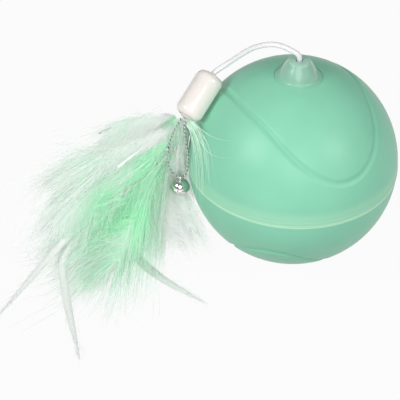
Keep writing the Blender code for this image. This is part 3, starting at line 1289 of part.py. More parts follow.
def make_bell(swing, tilt, rattle, lean):
    """The string's loop, the slotted bell that hangs in it and the pellet inside."""
    route = [
        (x * TAIL_SPAN + lean * z / STRING_BOTTOM_SHARE, 0.0, z * TAIL_SPAN)
        for x, z in STRING_ROUTE_SHARES
    ]
    string = tube("bell_string", smooth_route(route, STRING_POINTS), STRING_RADIUS, material="tinsel")
    place(string, swing)
    half_band = BELL_BAND_HEIGHT / 2
    quarter = part_circle(BELL_RADIUS, math.pi / 2, -math.pi / 2, BELL_RINGS)[1:-1]
    top = [(0.0, BELL_HEIGHT + BELL_RADIUS)] + [(x, BELL_HEIGHT + y) for x, y in quarter]
    low = [(r, 2 * BELL_HEIGHT - z) for r, z in reversed(top)]
    proud = BELL_RADIUS + BELL_BAND_PROUD
    band = [(proud, BELL_HEIGHT + half_band), (proud, BELL_HEIGHT - half_band)]
    shell = turned("bell_shell", top + band + low, BELL_STEPS, material="chrome")
    place(shell, tilt)

    bpy.ops.mesh.primitive_torus_add(
        major_segments=EYE_STEPS, minor_segments=SMALL_STEPS, major_radius=EYE_RADIUS, minor_radius=EYE_WIRE,
        rotation=(0.0, math.pi / 2, 0.0),
    )
    eye = bpy.context.active_object
    eye.name = "bell_eye"
    eye.data.transform(eye.matrix_world)
    eye.matrix_world = Matrix.Identity(4)
    for group in list(eye.users_collection):
        group.objects.unlink(eye)
    link(eye, TOOLS)
    join(shell, eye)
    eye.location = (0.0, 0.0, EYE_HEIGHT)

    inner = BELL_RADIUS - BELL_WALL
    ball = part_circle(inner, math.pi / 2, -math.pi, 2 * BELL_RINGS)
    ball[0] = (0.0, inner)
    ball[-1] = (0.0, -inner)
    hollow = turned("bell_hollow", ball, BELL_STEPS, TOOLS)
    cut(shell, hollow)
    hollow.location = (0.0, 0.0, BELL_HEIGHT)

    reach = BELL_RADIUS + BELL_BAND_PROUD + OVERRUN
    start = -math.pi / 2 - BELL_SLOT_HALF_ANGLE
    outline = [(0.0, 0.0)] + part_circle(reach, start, 2 * BELL_SLOT_HALF_ANGLE, SLOT_STEPS)
    half = BELL_SLOT_WIDTH / 2
    slot = plate("bell_slot", [outline], -half, half, TOOLS)
    slot.data.transform(Matrix.Rotation(math.pi / 2, 4, "X"))
    cut(shell, slot)
    slot.location = (0.0, 0.0, BELL_HEIGHT)

    pellet_height = BELL_HEIGHT - inner + PELLET_RADIUS + SEAT_GAP
    bpy.ops.mesh.primitive_uv_sphere_add(
        segments=BELL_STEPS, ring_count=BELL_RINGS, radius=PELLET_RADIUS
    )
    pellet = bpy.context.active_object
    pellet.name = "bell_pellet"
    for group in list(pellet.users_collection):
        group.objects.unlink(pellet)
    pellet.data.shade_smooth()
    link(pellet, PARTS, "steel")
    place(pellet, rattle, (0.0, 0.0, pellet_height))


def make_tail(centre, upper):
    """Everything from the bead in the nipple to the bell."""
    swivel = make_empty("tail_swivel_axis", upper, (0.0, 0.0, NIPPLE_TIP_HEIGHT))
    bead_height = -NIPPLE_CEILING - SEAT_GAP - BEAD_RADIUS
    start = math.acos(CORD_RADIUS / BEAD_RADIUS)
    ball = [(x, bead_height + y)
            for x, y in part_circle(BEAD_RADIUS, start, -start - math.pi / 2, 2 * ROUNDING_STEPS)]
    ball[-1] = (0.0, bead_height - BEAD_RADIUS)
    profile = [(0.0, 0.0), (CORD_RADIUS, 0.0)] + ball
    place(turned("cord_anchor", profile, BELL_STEPS, material="cord_white"), swivel)

    bend = Vector((0.0, 0.0, NIPPLE_TIP_HEIGHT + CORD_BEND_HEIGHT))
    tail = make_empty("tail_lift_axis", swivel, (0.0, 0.0, CORD_BEND_HEIGHT))
    mouth, axis, left, back = lean_frame()
    top = mouth - axis * FERRULE_LENGTH - bend
    route = [Vector(shares) * BALL_RADIUS for shares in CORD_ROUTE_SHARES]
    route += [top, top + axis * CORD_TUCK]
    cord = tube("tail_cord", smooth_route(route, CORD_POINTS), CORD_RADIUS, material="cord_white")
    place(cord, tail)
    make_ferrule(tail, bend)
    make_feathers(tail, bend)

    exit_point = mouth + axis * STRING_EXIT_DROP
    exit_point += left * STRING_EXIT_SHARES[0] * FERRULE_SOCKET
    exit_point += back * STRING_EXIT_SHARES[1] * FERRULE_SOCKET
    swing = make_empty("bell_swing_axis", tail, exit_point - bend)
    lean = bell_lean(exit_point)
    tilt = make_empty("bell_tilt_axis", swing, (-lean, 0.0, -STRING_BOTTOM))
    rattle = make_empty("pellet_slide", tilt)
    make_bell(swing, tilt, rattle, lean)


def build():
    """Build the whole ball."""
    clear_scene()
    make_collection(PARTS)
    make_collection(TOOLS)
    make_materials()
    centre = make_empty("ball_centre", location=(0.0, 0.0, CENTRE_Z))
    upper = make_empty("upper_half_slide", centre)
    pod = make_empty("pod_axis", centre)
    idler = make_empty("idler_axis", pod, (*IDLER_PLACE, 0.0))
    pinion = make_empty("motor_axis", pod, (*MOTOR_PLACE, 0.0))
    button = make_empty("button_slide", pod, (*SWITCH_PLACE, 0.0))

    make_covers(centre, upper)
    make_lower_shell(centre)
    make_upper_shell(upper)
    make_nipple(upper)
    make_bush("upper_bush", BUSH_BOTTOM, BUSH_TOP - SEAT_GAP, None, upper)
    make_axle(centre)
    flange_low = HUB_TOP + SEAT_GAP
    make_bush("pod_bush", HUB_NOSE_LOW, flange_low + BUSH_FLANGE_THICKNESS, flange_low, pod)
    make_chassis(pod)
    make_drive(pod, idler, pinion)
    make_power(pod)
    make_board(pod, button)
    make_leads(pod)
    make_tail(centre, upper)
    bpy.context.view_layer.update()


build()
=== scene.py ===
"""Dress the LED cat ball: a mint ball with a drive unit inside and a tail of feathers and a bell."""
import logging
import math
from dataclasses import dataclass, field
from enum import Enum
from typing import Iterable, Sequence

import bpy
import numpy as np
from mathutils import Matrix, Vector


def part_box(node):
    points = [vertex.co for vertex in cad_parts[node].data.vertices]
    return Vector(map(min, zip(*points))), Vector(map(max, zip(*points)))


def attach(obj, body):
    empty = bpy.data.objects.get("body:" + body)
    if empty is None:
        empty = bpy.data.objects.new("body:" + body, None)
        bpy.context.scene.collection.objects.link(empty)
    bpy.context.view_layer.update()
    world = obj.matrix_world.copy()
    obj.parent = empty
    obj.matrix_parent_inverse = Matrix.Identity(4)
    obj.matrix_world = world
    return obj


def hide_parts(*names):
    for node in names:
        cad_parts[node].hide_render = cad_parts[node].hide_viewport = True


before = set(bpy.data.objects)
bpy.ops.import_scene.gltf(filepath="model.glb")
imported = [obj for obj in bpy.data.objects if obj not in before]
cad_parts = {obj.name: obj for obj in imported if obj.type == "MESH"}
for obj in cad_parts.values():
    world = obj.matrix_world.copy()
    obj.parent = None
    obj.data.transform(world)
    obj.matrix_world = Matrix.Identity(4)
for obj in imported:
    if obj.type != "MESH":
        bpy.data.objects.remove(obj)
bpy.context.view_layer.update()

LOG = logging.getLogger("cat_ball")
Point = tuple[float, float, float]
Colour = tuple[float, float, float, float]
Profile = list[tuple[float, float]]

WHITE: Colour = (1.0, 1.0, 1.0, 1.0)

# The ball, the nipple's mouth and the point where the cord bends there.
BALL_RADIUS = 0.0375
BALL_CENTRE = Vector((0.0, 0.0, 0.037017))
NIPPLE_TOP = 0.080517
BEND = Vector((0.0, 0.0, 0.081817))

# The ferrule: the middle of its mouth, the way that it points, two ways across it, its bore and its length.
MOUTH = Vector((-0.0386068, -0.0051725, 0.0576673))
LEAN_AXIS = Vector((-0.4924983, -0.5877853, -0.6418363))
LEAN_LEFT = Vector((LEAN_AXIS.z, 0.0, -LEAN_AXIS.x)).normalized()
LEAN_BACK = LEAN_AXIS.cross(LEAN_LEFT).normalized()
SOCKET = 0.0029
FERRULE_LENGTH = 0.0176

# Feathers: the length that their routes are shares of, half a web's thickness, and how far they clear the ground.
TAIL_SPAN = 0.050
WEB_HALF = 0.00006
GROUND_GAP = 0.00005

# The room that the down leaves to the bell as it tilts on its string.
BELL_CENTRE = Vector((-0.0398, -0.0070, 0.0286))
BELL_ROOM = 0.0049

# The photograph's view, the floor, and the distances under which points and directions count as nothing.
VIEW_TILT = math.radians(38.0)
FLOOR_HEIGHT = -0.0001
SAME_POINT = 1e-6
NO_LENGTH = 1e-12


def tint(red: int, green: int, blue: int) -> Colour:
    """Turn a screen colour of 0 to 255 into a linear one.

    Args:
        red: Red, 0 to 255.
        green: Green, 0 to 255.
        blue: Blue, 0 to 255.

    Returns:
        The linear colour with an alpha of 1.
    """
    parts = [c / 255 for c in (red, green, blue)]
    line = [c / 12.92 if c <= 0.04045 else ((c + 0.055) / 1.055) ** 2.4 for c in parts]
    return (line[0], line[1], line[2], 1.0)


# ---------------------------------------------------------------- shader expressions


class Value:
    """A number in a material's node tree, used in plain Python expressions."""

    def __init__(self, paint: "Paint", socket: bpy.types.NodeSocket) -> None:
        """Wrap a socket of a paint."""
        self.paint = paint
        self.socket = socket

    def math(self, operation: str, *others: "Value | float", swap: bool = False) -> "Value":
        """Add a Math node to this value.

        Args:
            operation: The Math node's operation.
            others: The further inputs.
            swap: Whether this value is the second input.

        Returns:
            The node's result.
        """
        inputs = [self, *others]
        if swap:
            inputs.reverse()
        node = self.paint.node("ShaderNodeMath", {"operation": operation}, dict(enumerate(inputs)))
        return Value(self.paint, node.outputs[0])

    def __add__(self, other: "Value | float") -> "Value":
        """Sum."""
        return self.math("ADD", other)

    __radd__ = __add__

    def __sub__(self, other: "Value | float") -> "Value":
        """Difference."""
        return self.math("SUBTRACT", other)

    def __rsub__(self, other: float) -> "Value":
        """Difference from a number."""
        return self.math("SUBTRACT", other, swap=True)

    def __mul__(self, other: "Value | float") -> "Value":
        """Product."""
        return self.math("MULTIPLY", other)

    __rmul__ = __mul__

    def step(self, low: float, high: float) -> "Value":
        """A smooth rise from 0 at low to 1 at high."""
        ramp = {"interpolation_type": "SMOOTHSTEP"}
        return Value(self.paint, self.paint.node("ShaderNodeMapRange", ramp, {0: self, 1: low, 2: high}).outputs[0])


class Paint:
    """A material under construction, with one method that makes any node."""

    def __init__(self, name: str) -> None:
        """Start an empty material of this name.

        Args:
            name: The material's name.
        """
        self.material = bpy.data.materials.new(name)
        self.material.use_nodes = True
        self.tree = self.material.node_tree
        self.tree.nodes.clear()
        self._coords: bpy.types.NodeSocket | None = None

    def node(self, kind: str, settings: dict | None = None, values: dict | None = None) -> bpy.types.Node:
        """Make a node.

        Args:
            kind: The node's type.
            settings: Its settings, set first.
            values: The values or links of its sockets, by name or number.

        Returns:
            The node.
        """
        node = self.tree.nodes.new(kind)
        for key, value in (settings or {}).items():
            setattr(node, key, value)
        for key, value in (values or {}).items():
            if isinstance(value, Value):
                value = value.socket
            if isinstance(value, bpy.types.NodeSocket):
                self.tree.links.new(value, node.inputs[key])
            else:
                node.inputs[key].default_value = value
        return node

    def coords(self) -> bpy.types.NodeSocket:
        """Object coordinates, in metres.

        Returns:
            The socket that gives them.
        """
        if self._coords is None:
            self._coords = self.node("ShaderNodeTexCoord").outputs["Object"]
        return self._coords

    def height(self) -> Value:
        """The height above the floor."""
        return Value(self, self.node("ShaderNodeSeparateXYZ", values={0: self.coords()}).outputs[2])

    def noise(self, scale: float, detail: float = 2.0, rough: float = 0.5,
              coords: bpy.types.NodeSocket | None = None) -> Value:
        """Smooth noise from 0 to 1, its scale in features to a metre, at these coordinates or the object's."""
        values = {"Vector": coords or self.coords(), "Scale": scale, "Detail": detail, "Roughness": rough}
        return Value(self, self.node("ShaderNodeTexNoise", None, values).outputs[0])

    def channels(self) -> tuple[Value, Value, Value, Value]:
        """The four numbers that a mesh carries for its finish at each point.

        Returns:
            One value for each.
        """
        carried = self.node("ShaderNodeAttribute", {"attribute_name": "tone"})
        split = self.node("ShaderNodeSeparateColor", None, {0: carried.outputs["Color"]})
        return tuple(Value(self, socket) for socket in (*split.outputs, carried.outputs["Alpha"]))

    def mix(self, share: Value | float, low: object, high: object) -> bpy.types.NodeSocket:
        """Two colours or links mixed, by a share of the second."""
        return self.node("ShaderNodeMix", {"data_type": "RGBA"}, {0: share, 6: low, 7: high}).outputs[2]

    def bump(self, height: Value, distance: float, strength: float = 1.0) -> bpy.types.NodeSocket:
        """A bumped normal from a height of 0 to 1 that stands for this distance in metres."""
        values = {"Height": height, "Distance": distance, "Strength": strength}
        return self.node("ShaderNodeBump", None, values).outputs[0]

    def finish(self, values: dict) -> bpy.types.Material:
        """Close the material with a Principled shader.

        Args:
            values: The shader's sockets by name.

        Returns:
            The finished material.
        """
        shader = self.node("ShaderNodeBsdfPrincipled", None, values)
        output = self.node("ShaderNodeOutputMaterial")
        self.tree.links.new(shader.outputs[0], output.inputs[0])
        return self.material


# ---------------------------------------------------------------- finishes


@dataclass(frozen=True)
class SiliconeSkin:
    """Satin mint silicone, mottled, paler in a band at the seam, with a painted highlight on the lip's edge and
    painted shade in the groove.
    """

    name: str
    lip_low: float = -0.0014
    lip_high: float = 0.0042
    body: Colour = tint(147, 221, 189)
    # Deeper mint: the random mottle, and painted shade in the groove.
    mottle_and_groove_shade: Colour = tint(134, 210, 176)
    lip: Colour = tint(170, 230, 197)
    # Painted highlight on the lip's rounded lower edge.
    rim: Colour = tint(192, 244, 210)

    def build(self) -> bpy.types.Material:
        """Make the material.

        Returns:
            The finished material.
        """
        paint = Paint(self.name)
        height = paint.height() - BALL_CENTRE.z
        groove = Value(paint, paint.node("ShaderNodeAttribute", {"attribute_name": "groove"}).outputs["Fac"])
        cloud = paint.noise(70.0, 3.0)
        fine = paint.noise(5200.0, 2.0)
        grain = paint.noise(1500.0, 3.0)
        colour = paint.mix(cloud.step(0.25, 0.8) * 0.35, self.body, self.mottle_and_groove_shade)
        # Painted shade: the groove is darkened towards the deeper mint.
        colour = paint.mix(groove * 0.45, colour, self.mottle_and_groove_shade)
        soft = 0.4 * (self.lip_high - self.lip_low)
        band = height.step(self.lip_low - 0.0002, self.lip_low)
        band = band * (1.0 - height.step(self.lip_high - soft, self.lip_high + 0.5 * soft))
        colour = paint.mix(band * 0.75, colour, self.lip)
        # Painted highlight: the lowest strip of the lip, where its rounded edge catches and lets through light, is
        # painted near-white mint.
        edge = 1.0 - height.step(self.lip_low + 0.0005, self.lip_low + 0.0009)
        colour = paint.mix(edge * band, colour, self.rim)
        return paint.finish({
            "Base Color": colour, "Roughness": 0.34 + 0.08 * grain,
            "Normal": paint.bump(grain * 0.7 + fine * 0.3, 0.000012),
            "Subsurface Weight": 0.18, "Subsurface Radius": (0.7, 1.0, 0.8), "Subsurface Scale": 0.0012,
            "Specular IOR Level": 0.42, "IOR": 1.45,
        })


@dataclass(frozen=True)
class ClearRubber:
    """Milky, see-through mint rubber of the nipple, paler at its tip and foot."""

    name: str = "nipple_rubber"
    body: Colour = tint(146, 198, 174)
    pale: Colour = tint(192, 222, 208)
    skirt: Colour = tint(150, 220, 190)
    tip_height: float = 0.0012
    foot_heights: tuple[float, float] = (0.0738, 0.0752)

    def build(self) -> bpy.types.Material:
        """Make the material.

        Returns:
            The finished material.
        """
        paint = Paint(self.name)
        height = paint.height()
        cloud = paint.noise(420.0, 3.0)
        tip = height.step(NIPPLE_TOP - self.tip_height, NIPPLE_TOP)
        foot = 1.0 - height.step(*self.foot_heights)
        colour = paint.mix(cloud * 0.35, self.body, self.pale)
        colour = paint.mix(tip * 0.4, colour, self.pale)
        colour = paint.mix(foot * 0.8, colour, self.skirt)
        grain = paint.noise(2600.0, 2.0)
        return paint.finish({
            "Base Color": colour, "Roughness": 0.20 + 0.10 * grain, "Normal": paint.bump(grain, 0.00001),
            "Coat Weight": 0.4, "Coat Roughness": 0.1, "IOR": 1.43,
            "Subsurface Weight": 0.6, "Subsurface Radius": (0.8, 1.0, 0.9), "Subsurface Scale": 0.002,
        })


@dataclass(frozen=True)
class MouldedPlastic:
    """Moulded plastic with a faint grain, and scuffs that are paler and rougher."""

    name: str
    body: Colour
    worn: Colour
    roughness: float = 0.35
    grain: float = 0.000012
    coat: float = 0.0
    depth: float = 0.0

    def build(self) -> bpy.types.Material:
        """Make the material.

        Returns:
            The finished material.
        """
        paint = Paint(self.name)
        cloud = paint.noise(160.0, 4.0, 0.6)
        grain = paint.noise(3200.0, 2.0)
        scuff = paint.noise(900.0, 5.0, 0.7).step(0.58, 0.72)
        colour = paint.mix(cloud * 0.4 + scuff * 0.15, self.body, self.worn)
        values = {
            "Base Color": colour, "Roughness": self.roughness + 0.08 * grain + 0.10 * scuff,
            "Normal": paint.bump(grain, self.grain), "Coat Weight": self.coat, "Coat Roughness": 0.12,
        }
        if self.depth:
            values |= {"Subsurface Weight": 0.35, "Subsurface Radius": (1.0,) * 3, "Subsurface Scale": self.depth}
        return paint.finish(values)


@dataclass(frozen=True)
class Metal:
    """Metal with fine turning marks and slight stains."""

    name: str
    body: Colour
    stain: Colour
    roughness: float = 0.22
    lines: float = 2600.0
    line_depth: float = 0.000004

    def build(self) -> bpy.types.Material:
        """Make the material.

        Returns:
            The finished material.
        """
        paint = Paint(self.name)
        stretch = paint.node("ShaderNodeMapping", None, {0: paint.coords(), 3: (1.0, 1.0, 9.0)}).outputs[0]
        lines = paint.noise(self.lines, 3.0, 0.6, stretch)
        cloud = paint.noise(300.0, 4.0, 0.6)
        colour = paint.mix(cloud.step(0.35, 0.8) * 0.6, self.body, self.stain)
        return paint.finish({
            "Base Color": colour, "Metallic": 1.0, "Roughness": self.roughness + 0.12 * lines * cloud,
            "Normal": paint.bump(lines, self.line_depth),
        })


@dataclass(frozen=True)
class FeatherDown:
    """Soft matt barbs, white or dyed mint by the share that each barb carries, which thin out at their ends.

    The faint glow stands for the light that passes through down.
    """

    name: str
    white: Colour = tint(255, 255, 254)
    dye: Colour = tint(168, 248, 200)
    # Greyer white: random barb tone, partly painted shade between barbs and on the hackles.
    shade: Colour = tint(230, 236, 231)
    glow: float = 0.055

    def build(self) -> bpy.types.Material:
        """Make the material.

        Returns:
            The finished material.
        """
        paint = Paint(self.name)
        dyed, grey, along, share = paint.channels()
        weave = paint.node("ShaderNodeCombineXYZ", None, {0: share * 230.0, 1: along * 1.2, 2: share * 7.0})
        streak = paint.noise(1.0, 2.0, 0.6, weave.outputs[0])
        patches = paint.noise(260.0, 3.0, 0.6)
        dyed = dyed * (0.55 + 0.45 * patches + 0.45 * streak)
        # The grey channel and the streaks mix towards shade: random barb tone, partly painted shade between barbs.
        colour = paint.mix(grey + 1.3 * (streak - 0.5), self.white, self.shade)
        colour = paint.mix(dyed, colour, self.dye)
        colour = paint.mix(along * 0.25, colour, self.white)
        opaque = 1.05 - 0.50 * along + (streak - 0.5) * 0.9 * along.step(0.3, 1.2)
        return paint.finish({
            "Base Color": colour, "Roughness": 0.55 + 0.2 * streak, "Normal": paint.bump(streak, 0.00003, 0.5),
            "Alpha": opaque, "Specular IOR Level": 0.25, "Sheen Weight": 0.2, "Sheen Roughness": 0.4,
            "Emission Color": colour, "Emission Strength": self.glow,
        })


@dataclass(frozen=True)
class Tinsel:
    """Twisted white thread and silver foil, from the ply that the mesh carries."""

    name: str = "tinsel"
    thread: Colour = tint(236, 234, 234)
    foil: Colour = tint(196, 196, 200)
    dark: Colour = tint(70, 66, 68)

    def build(self) -> bpy.types.Material:
        """Make the material.

        Returns:
            The finished material.
        """
        paint = Paint(self.name)
        foil, speck, _, _ = paint.channels()
        glint = paint.noise(2600.0, 2.0)
        metal = paint.mix(speck, self.foil, self.dark)
        colour = paint.mix(foil, self.thread, metal)
        return paint.finish({
            "Base Color": colour, "Metallic": foil * 0.85, "Roughness": 0.5 - 0.3 * foil,
            "Normal": paint.bump(glint, 0.00003),
        })


@dataclass(frozen=True)
class CircuitBoard:
    """Green lacquered board with paler tracks and solder spots."""

    name: str = "board_green"
    lacquer: Colour = tint(28, 92, 52)
    track: Colour = tint(58, 132, 78)
    solder: Colour = tint(188, 188, 184)

    def build(self) -> bpy.types.Material:
        """Make the material.

        Returns:
            The finished material.
        """
        paint = Paint(self.name)
        wave = paint.node("ShaderNodeTexWave", {"wave_type": "BANDS", "bands_direction": "X"},
                          {0: paint.coords(), "Scale": 260.0, "Distortion": 3.0, "Detail": 0.0})
        track = Value(paint, wave.outputs[1]).step(0.62, 0.70)
        cells = paint.node("ShaderNodeTexVoronoi", {"feature": "F1"}, {0: paint.coords(), "Scale": 420.0})
        spot = 1.0 - Value(paint, cells.outputs[0]).step(0.16, 0.20)
        colour = paint.mix(track * 0.8, self.lacquer, self.track)
        colour = paint.mix(spot, colour, self.solder)
        height = track * 0.4 + spot
        return paint.finish({
            "Base Color": colour, "Metallic": spot * 0.8, "Roughness": 0.30 + 0.1 * spot,
            "Normal": paint.bump(height, 0.00004), "Coat Weight": 0.3, "Coat Roughness": 0.1,
        })


@dataclass(frozen=True)
class BatterySleeve:
    """Shrunk plastic sleeve round the cell, with creases at its ends."""

    name: str = "battery_sleeve"
    body: Colour = tint(70, 120, 176)
    crease: Colour = tint(104, 150, 196)

    def build(self) -> bpy.types.Material:
        """Make the material.

        Returns:
            The finished material.
        """
        paint = Paint(self.name)
        stretch = paint.node("ShaderNodeMapping", None, {0: paint.coords(), 3: (1.0, 0.15, 1.0)}).outputs[0]
        crease = paint.noise(900.0, 3.0, 0.6, stretch)
        colour = paint.mix(crease.step(0.45, 0.75) * 0.6, self.body, self.crease)
        return paint.finish({
            "Base Color": colour, "Roughness": 0.26 + 0.1 * crease, "Normal": paint.bump(crease, 0.00005),
            "Coat Weight": 0.4, "Coat Roughness": 0.15,
        })


@dataclass(frozen=True)
class TintedLens:
    """Clear coloured plastic of a lamp, with a darker core."""

    name: str = "red_lamp"
    body: Colour = tint(214, 38, 34)
    core: Colour = tint(120, 12, 14)

    def build(self) -> bpy.types.Material:
        """Make the material.

        Returns:
            The finished material.
        """
        paint = Paint(self.name)
        cloud = paint.noise(700.0, 2.0)
        colour = paint.mix(cloud * 0.6, self.body, self.core)
        return paint.finish({
            "Base Color": colour, "Roughness": 0.08 + 0.06 * cloud, "Normal": paint.bump(cloud, 0.00001),
            "Transmission Weight": 0.45, "IOR": 1.5, "Coat Weight": 0.4,
        })


# ---------------------------------------------------------------- modelling


def deselect() -> None:
    """Leave edit mode and deselect everything."""
    if bpy.context.object is not None and bpy.context.object.mode != "OBJECT":
        bpy.ops.object.mode_set(mode="OBJECT")
    bpy.ops.object.select_all(action="DESELECT")


def active(obj: bpy.types.Object) -> None:
    """Select one object alone and make it active.

    Args:
        obj: The object.
    """
    deselect()
    obj.select_set(True)
    bpy.context.view_layer.objects.active = obj


def turned(name: str, profile: Profile, steps: int, closed: bool = False) -> bpy.types.Object:
    """Spin a profile round +Z.

    Args:
        name: The new object's name.
        profile: Points of radius and height.
        steps: Steps of the spin.
        closed: Whether the profile's end joins its start.

    Returns:
        The turned object, at the origin.
    """
    deselect()
    bpy.ops.mesh.primitive_plane_add(size=0.001)
    obj = bpy.context.object
    obj.name = name
    bpy.ops.object.mode_set(mode="EDIT")
    bpy.ops.mesh.select_all(action="SELECT")
    bpy.ops.mesh.merge(type="CENTER")
    radius, height = profile[0]
    bpy.ops.transform.translate(value=(radius, 0.0, height))
    route = list(profile[1:]) + ([profile[0]] if closed else [])
    for x, z in route:
        bpy.ops.mesh.extrude_region_move(TRANSFORM_OT_translate={"value": (x - radius, 0.0, z - height)})
        radius, height = x, z
    bpy.ops.mesh.select_all(action="SELECT")
    bpy.ops.mesh.spin(steps=steps, angle=2 * math.pi, center=(0.0, 0.0, 0.0), axis=(0.0, 0.0, 1.0))
    bpy.ops.mesh.select_all(action="SELECT")
    bpy.ops.mesh.remove_doubles(threshold=SAME_POINT)
    bpy.ops.mesh.select_all(action="SELECT")
    bpy.ops.mesh.normals_make_consistent(inside=False)
    bpy.ops.object.mode_set(mode="OBJECT")
    return obj


def smooth(obj: bpy.types.Object, angle: float) -> None:
    """Shade an object smooth up to an angle in degrees."""
    active(obj)
    bpy.ops.object.shade_smooth_by_angle(angle=math.radians(angle))


def dress(obj: bpy.types.Object, material: bpy.types.Material) -> None:
    """Give an object one material."""
    obj.data.materials.clear()
    obj.data.materials.append(material)


def hand_over(obj: bpy.types.Object, material: bpy.types.Material, node: str,
              body: str) -> bpy.types.Object:
    """Dress a finished piece and let it stand for a node of the frame.

    Args:
        obj: The piece.
        material: Its material.
        node: The node that it stands for.
        body: The body that it rides on.

    Returns:
        The piece.
    """
    dress(obj, material)
    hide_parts(node)
    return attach(obj, body)


def combine(obj: bpy.types.Object, tool: bpy.types.Object, operation: str) -> None:
    """Cut a tool out of an object, or join it on, and remove the tool.

    Args:
        obj: The object.
        tool: The tool.
        operation: DIFFERENCE to cut or UNION to join.
    """
    active(obj)
    modifier = obj.modifiers.new("combine", "BOOLEAN")
    modifier.operation = operation
    modifier.solver = "EXACT"
    modifier.object = tool
    bpy.ops.object.modifier_apply(modifier=modifier.name)
    bpy.data.objects.remove(tool)


def baked(obj: bpy.types.Object) -> bpy.types.Object:
    """Move an object's place and turn into its mesh.

    Args:
        obj: The object.

    Returns:
        The object, at the origin.
    """
    obj.data.transform(obj.matrix_world)
    obj.matrix_world = Matrix.Identity(4)
    return obj


def unit(ways: np.ndarray) -> np.ndarray:
    """Directions of length 1 along an array's last axis."""
    return ways / np.maximum(np.linalg.norm(ways, axis=-1, keepdims=True), NO_LENGTH)


def tone(shape: tuple[int, ...], *parts: np.ndarray | float) -> np.ndarray:
    """Four numbers for each point: dye, grey, place along the barb and on the shaft, or for tinsel foil and speck."""
    return np.stack([np.broadcast_to(part, shape) for part in parts], axis=-1)


def points_of(mesh: bpy.types.Mesh) -> np.ndarray:
    """The mesh's points as an array.

    Args:
        mesh: The mesh.

    Returns:
        Its points, one in each row.
    """
    flat = np.empty(len(mesh.vertices) * 3)
    mesh.vertices.foreach_get("co", flat)
    return flat.reshape(-1, 3)


def smooth_route(points: Iterable[Sequence[float]], count: int, fine: int = 24) -> list[Vector]:
    """Evenly spaced points on a smooth curve through a route's own points.

    Args:
        points: The route.
        count: How many points to return.
        fine: Steps between two points of the route.

    Returns:
        The evenly spaced points.
    """
    route = [Vector(p) for p in points]
    ends = [route[0] * 2 - route[1]] + route + [route[-1] * 2 - route[-2]]
    line = []
    for i in range(1, len(ends) - 2):
        before, start, end, after = ends[i - 1:i + 3]
        for k in range(fine):
            t = k / fine
            line.append((start * 2 + (end - before) * t + (before * 2 - start * 5 + end * 4 - after) * t**2
                         + (start * 3 - before - end * 3 + after) * t**3) / 2)
    line.append(route[-1])
    spots = np.array([list(p) for p in line])
    lengths = np.concatenate([[0.0], np.cumsum(np.linalg.norm(np.diff(spots, axis=0), axis=1))])
    want = np.linspace(0.0, lengths[-1], count)
    return [Vector([float(np.interp(w, lengths, spots[:, i])) for i in range(3)]) for w in want]


def arc(radius: float, start: float, end: float, count: int) -> Profile:
    """Points of a circle round the origin between two heights."""
    angles = np.linspace(math.asin(max(-1.0, start / radius)), math.asin(min(1.0, end / radius)), count)
    return [(radius * math.cos(a), radius * math.sin(a)) for a in angles]


def corner(centre: tuple[float, float], radius: float, start: float, end: float, count: int) -> Profile:
    """Points of a small rounding, its angles in degrees."""
    angles = np.radians(np.linspace(start, end, count))
    return [(centre[0] + radius * math.cos(a), centre[1] + radius * math.sin(a)) for a in angles]


# ---------------------------------------------------------------- studio


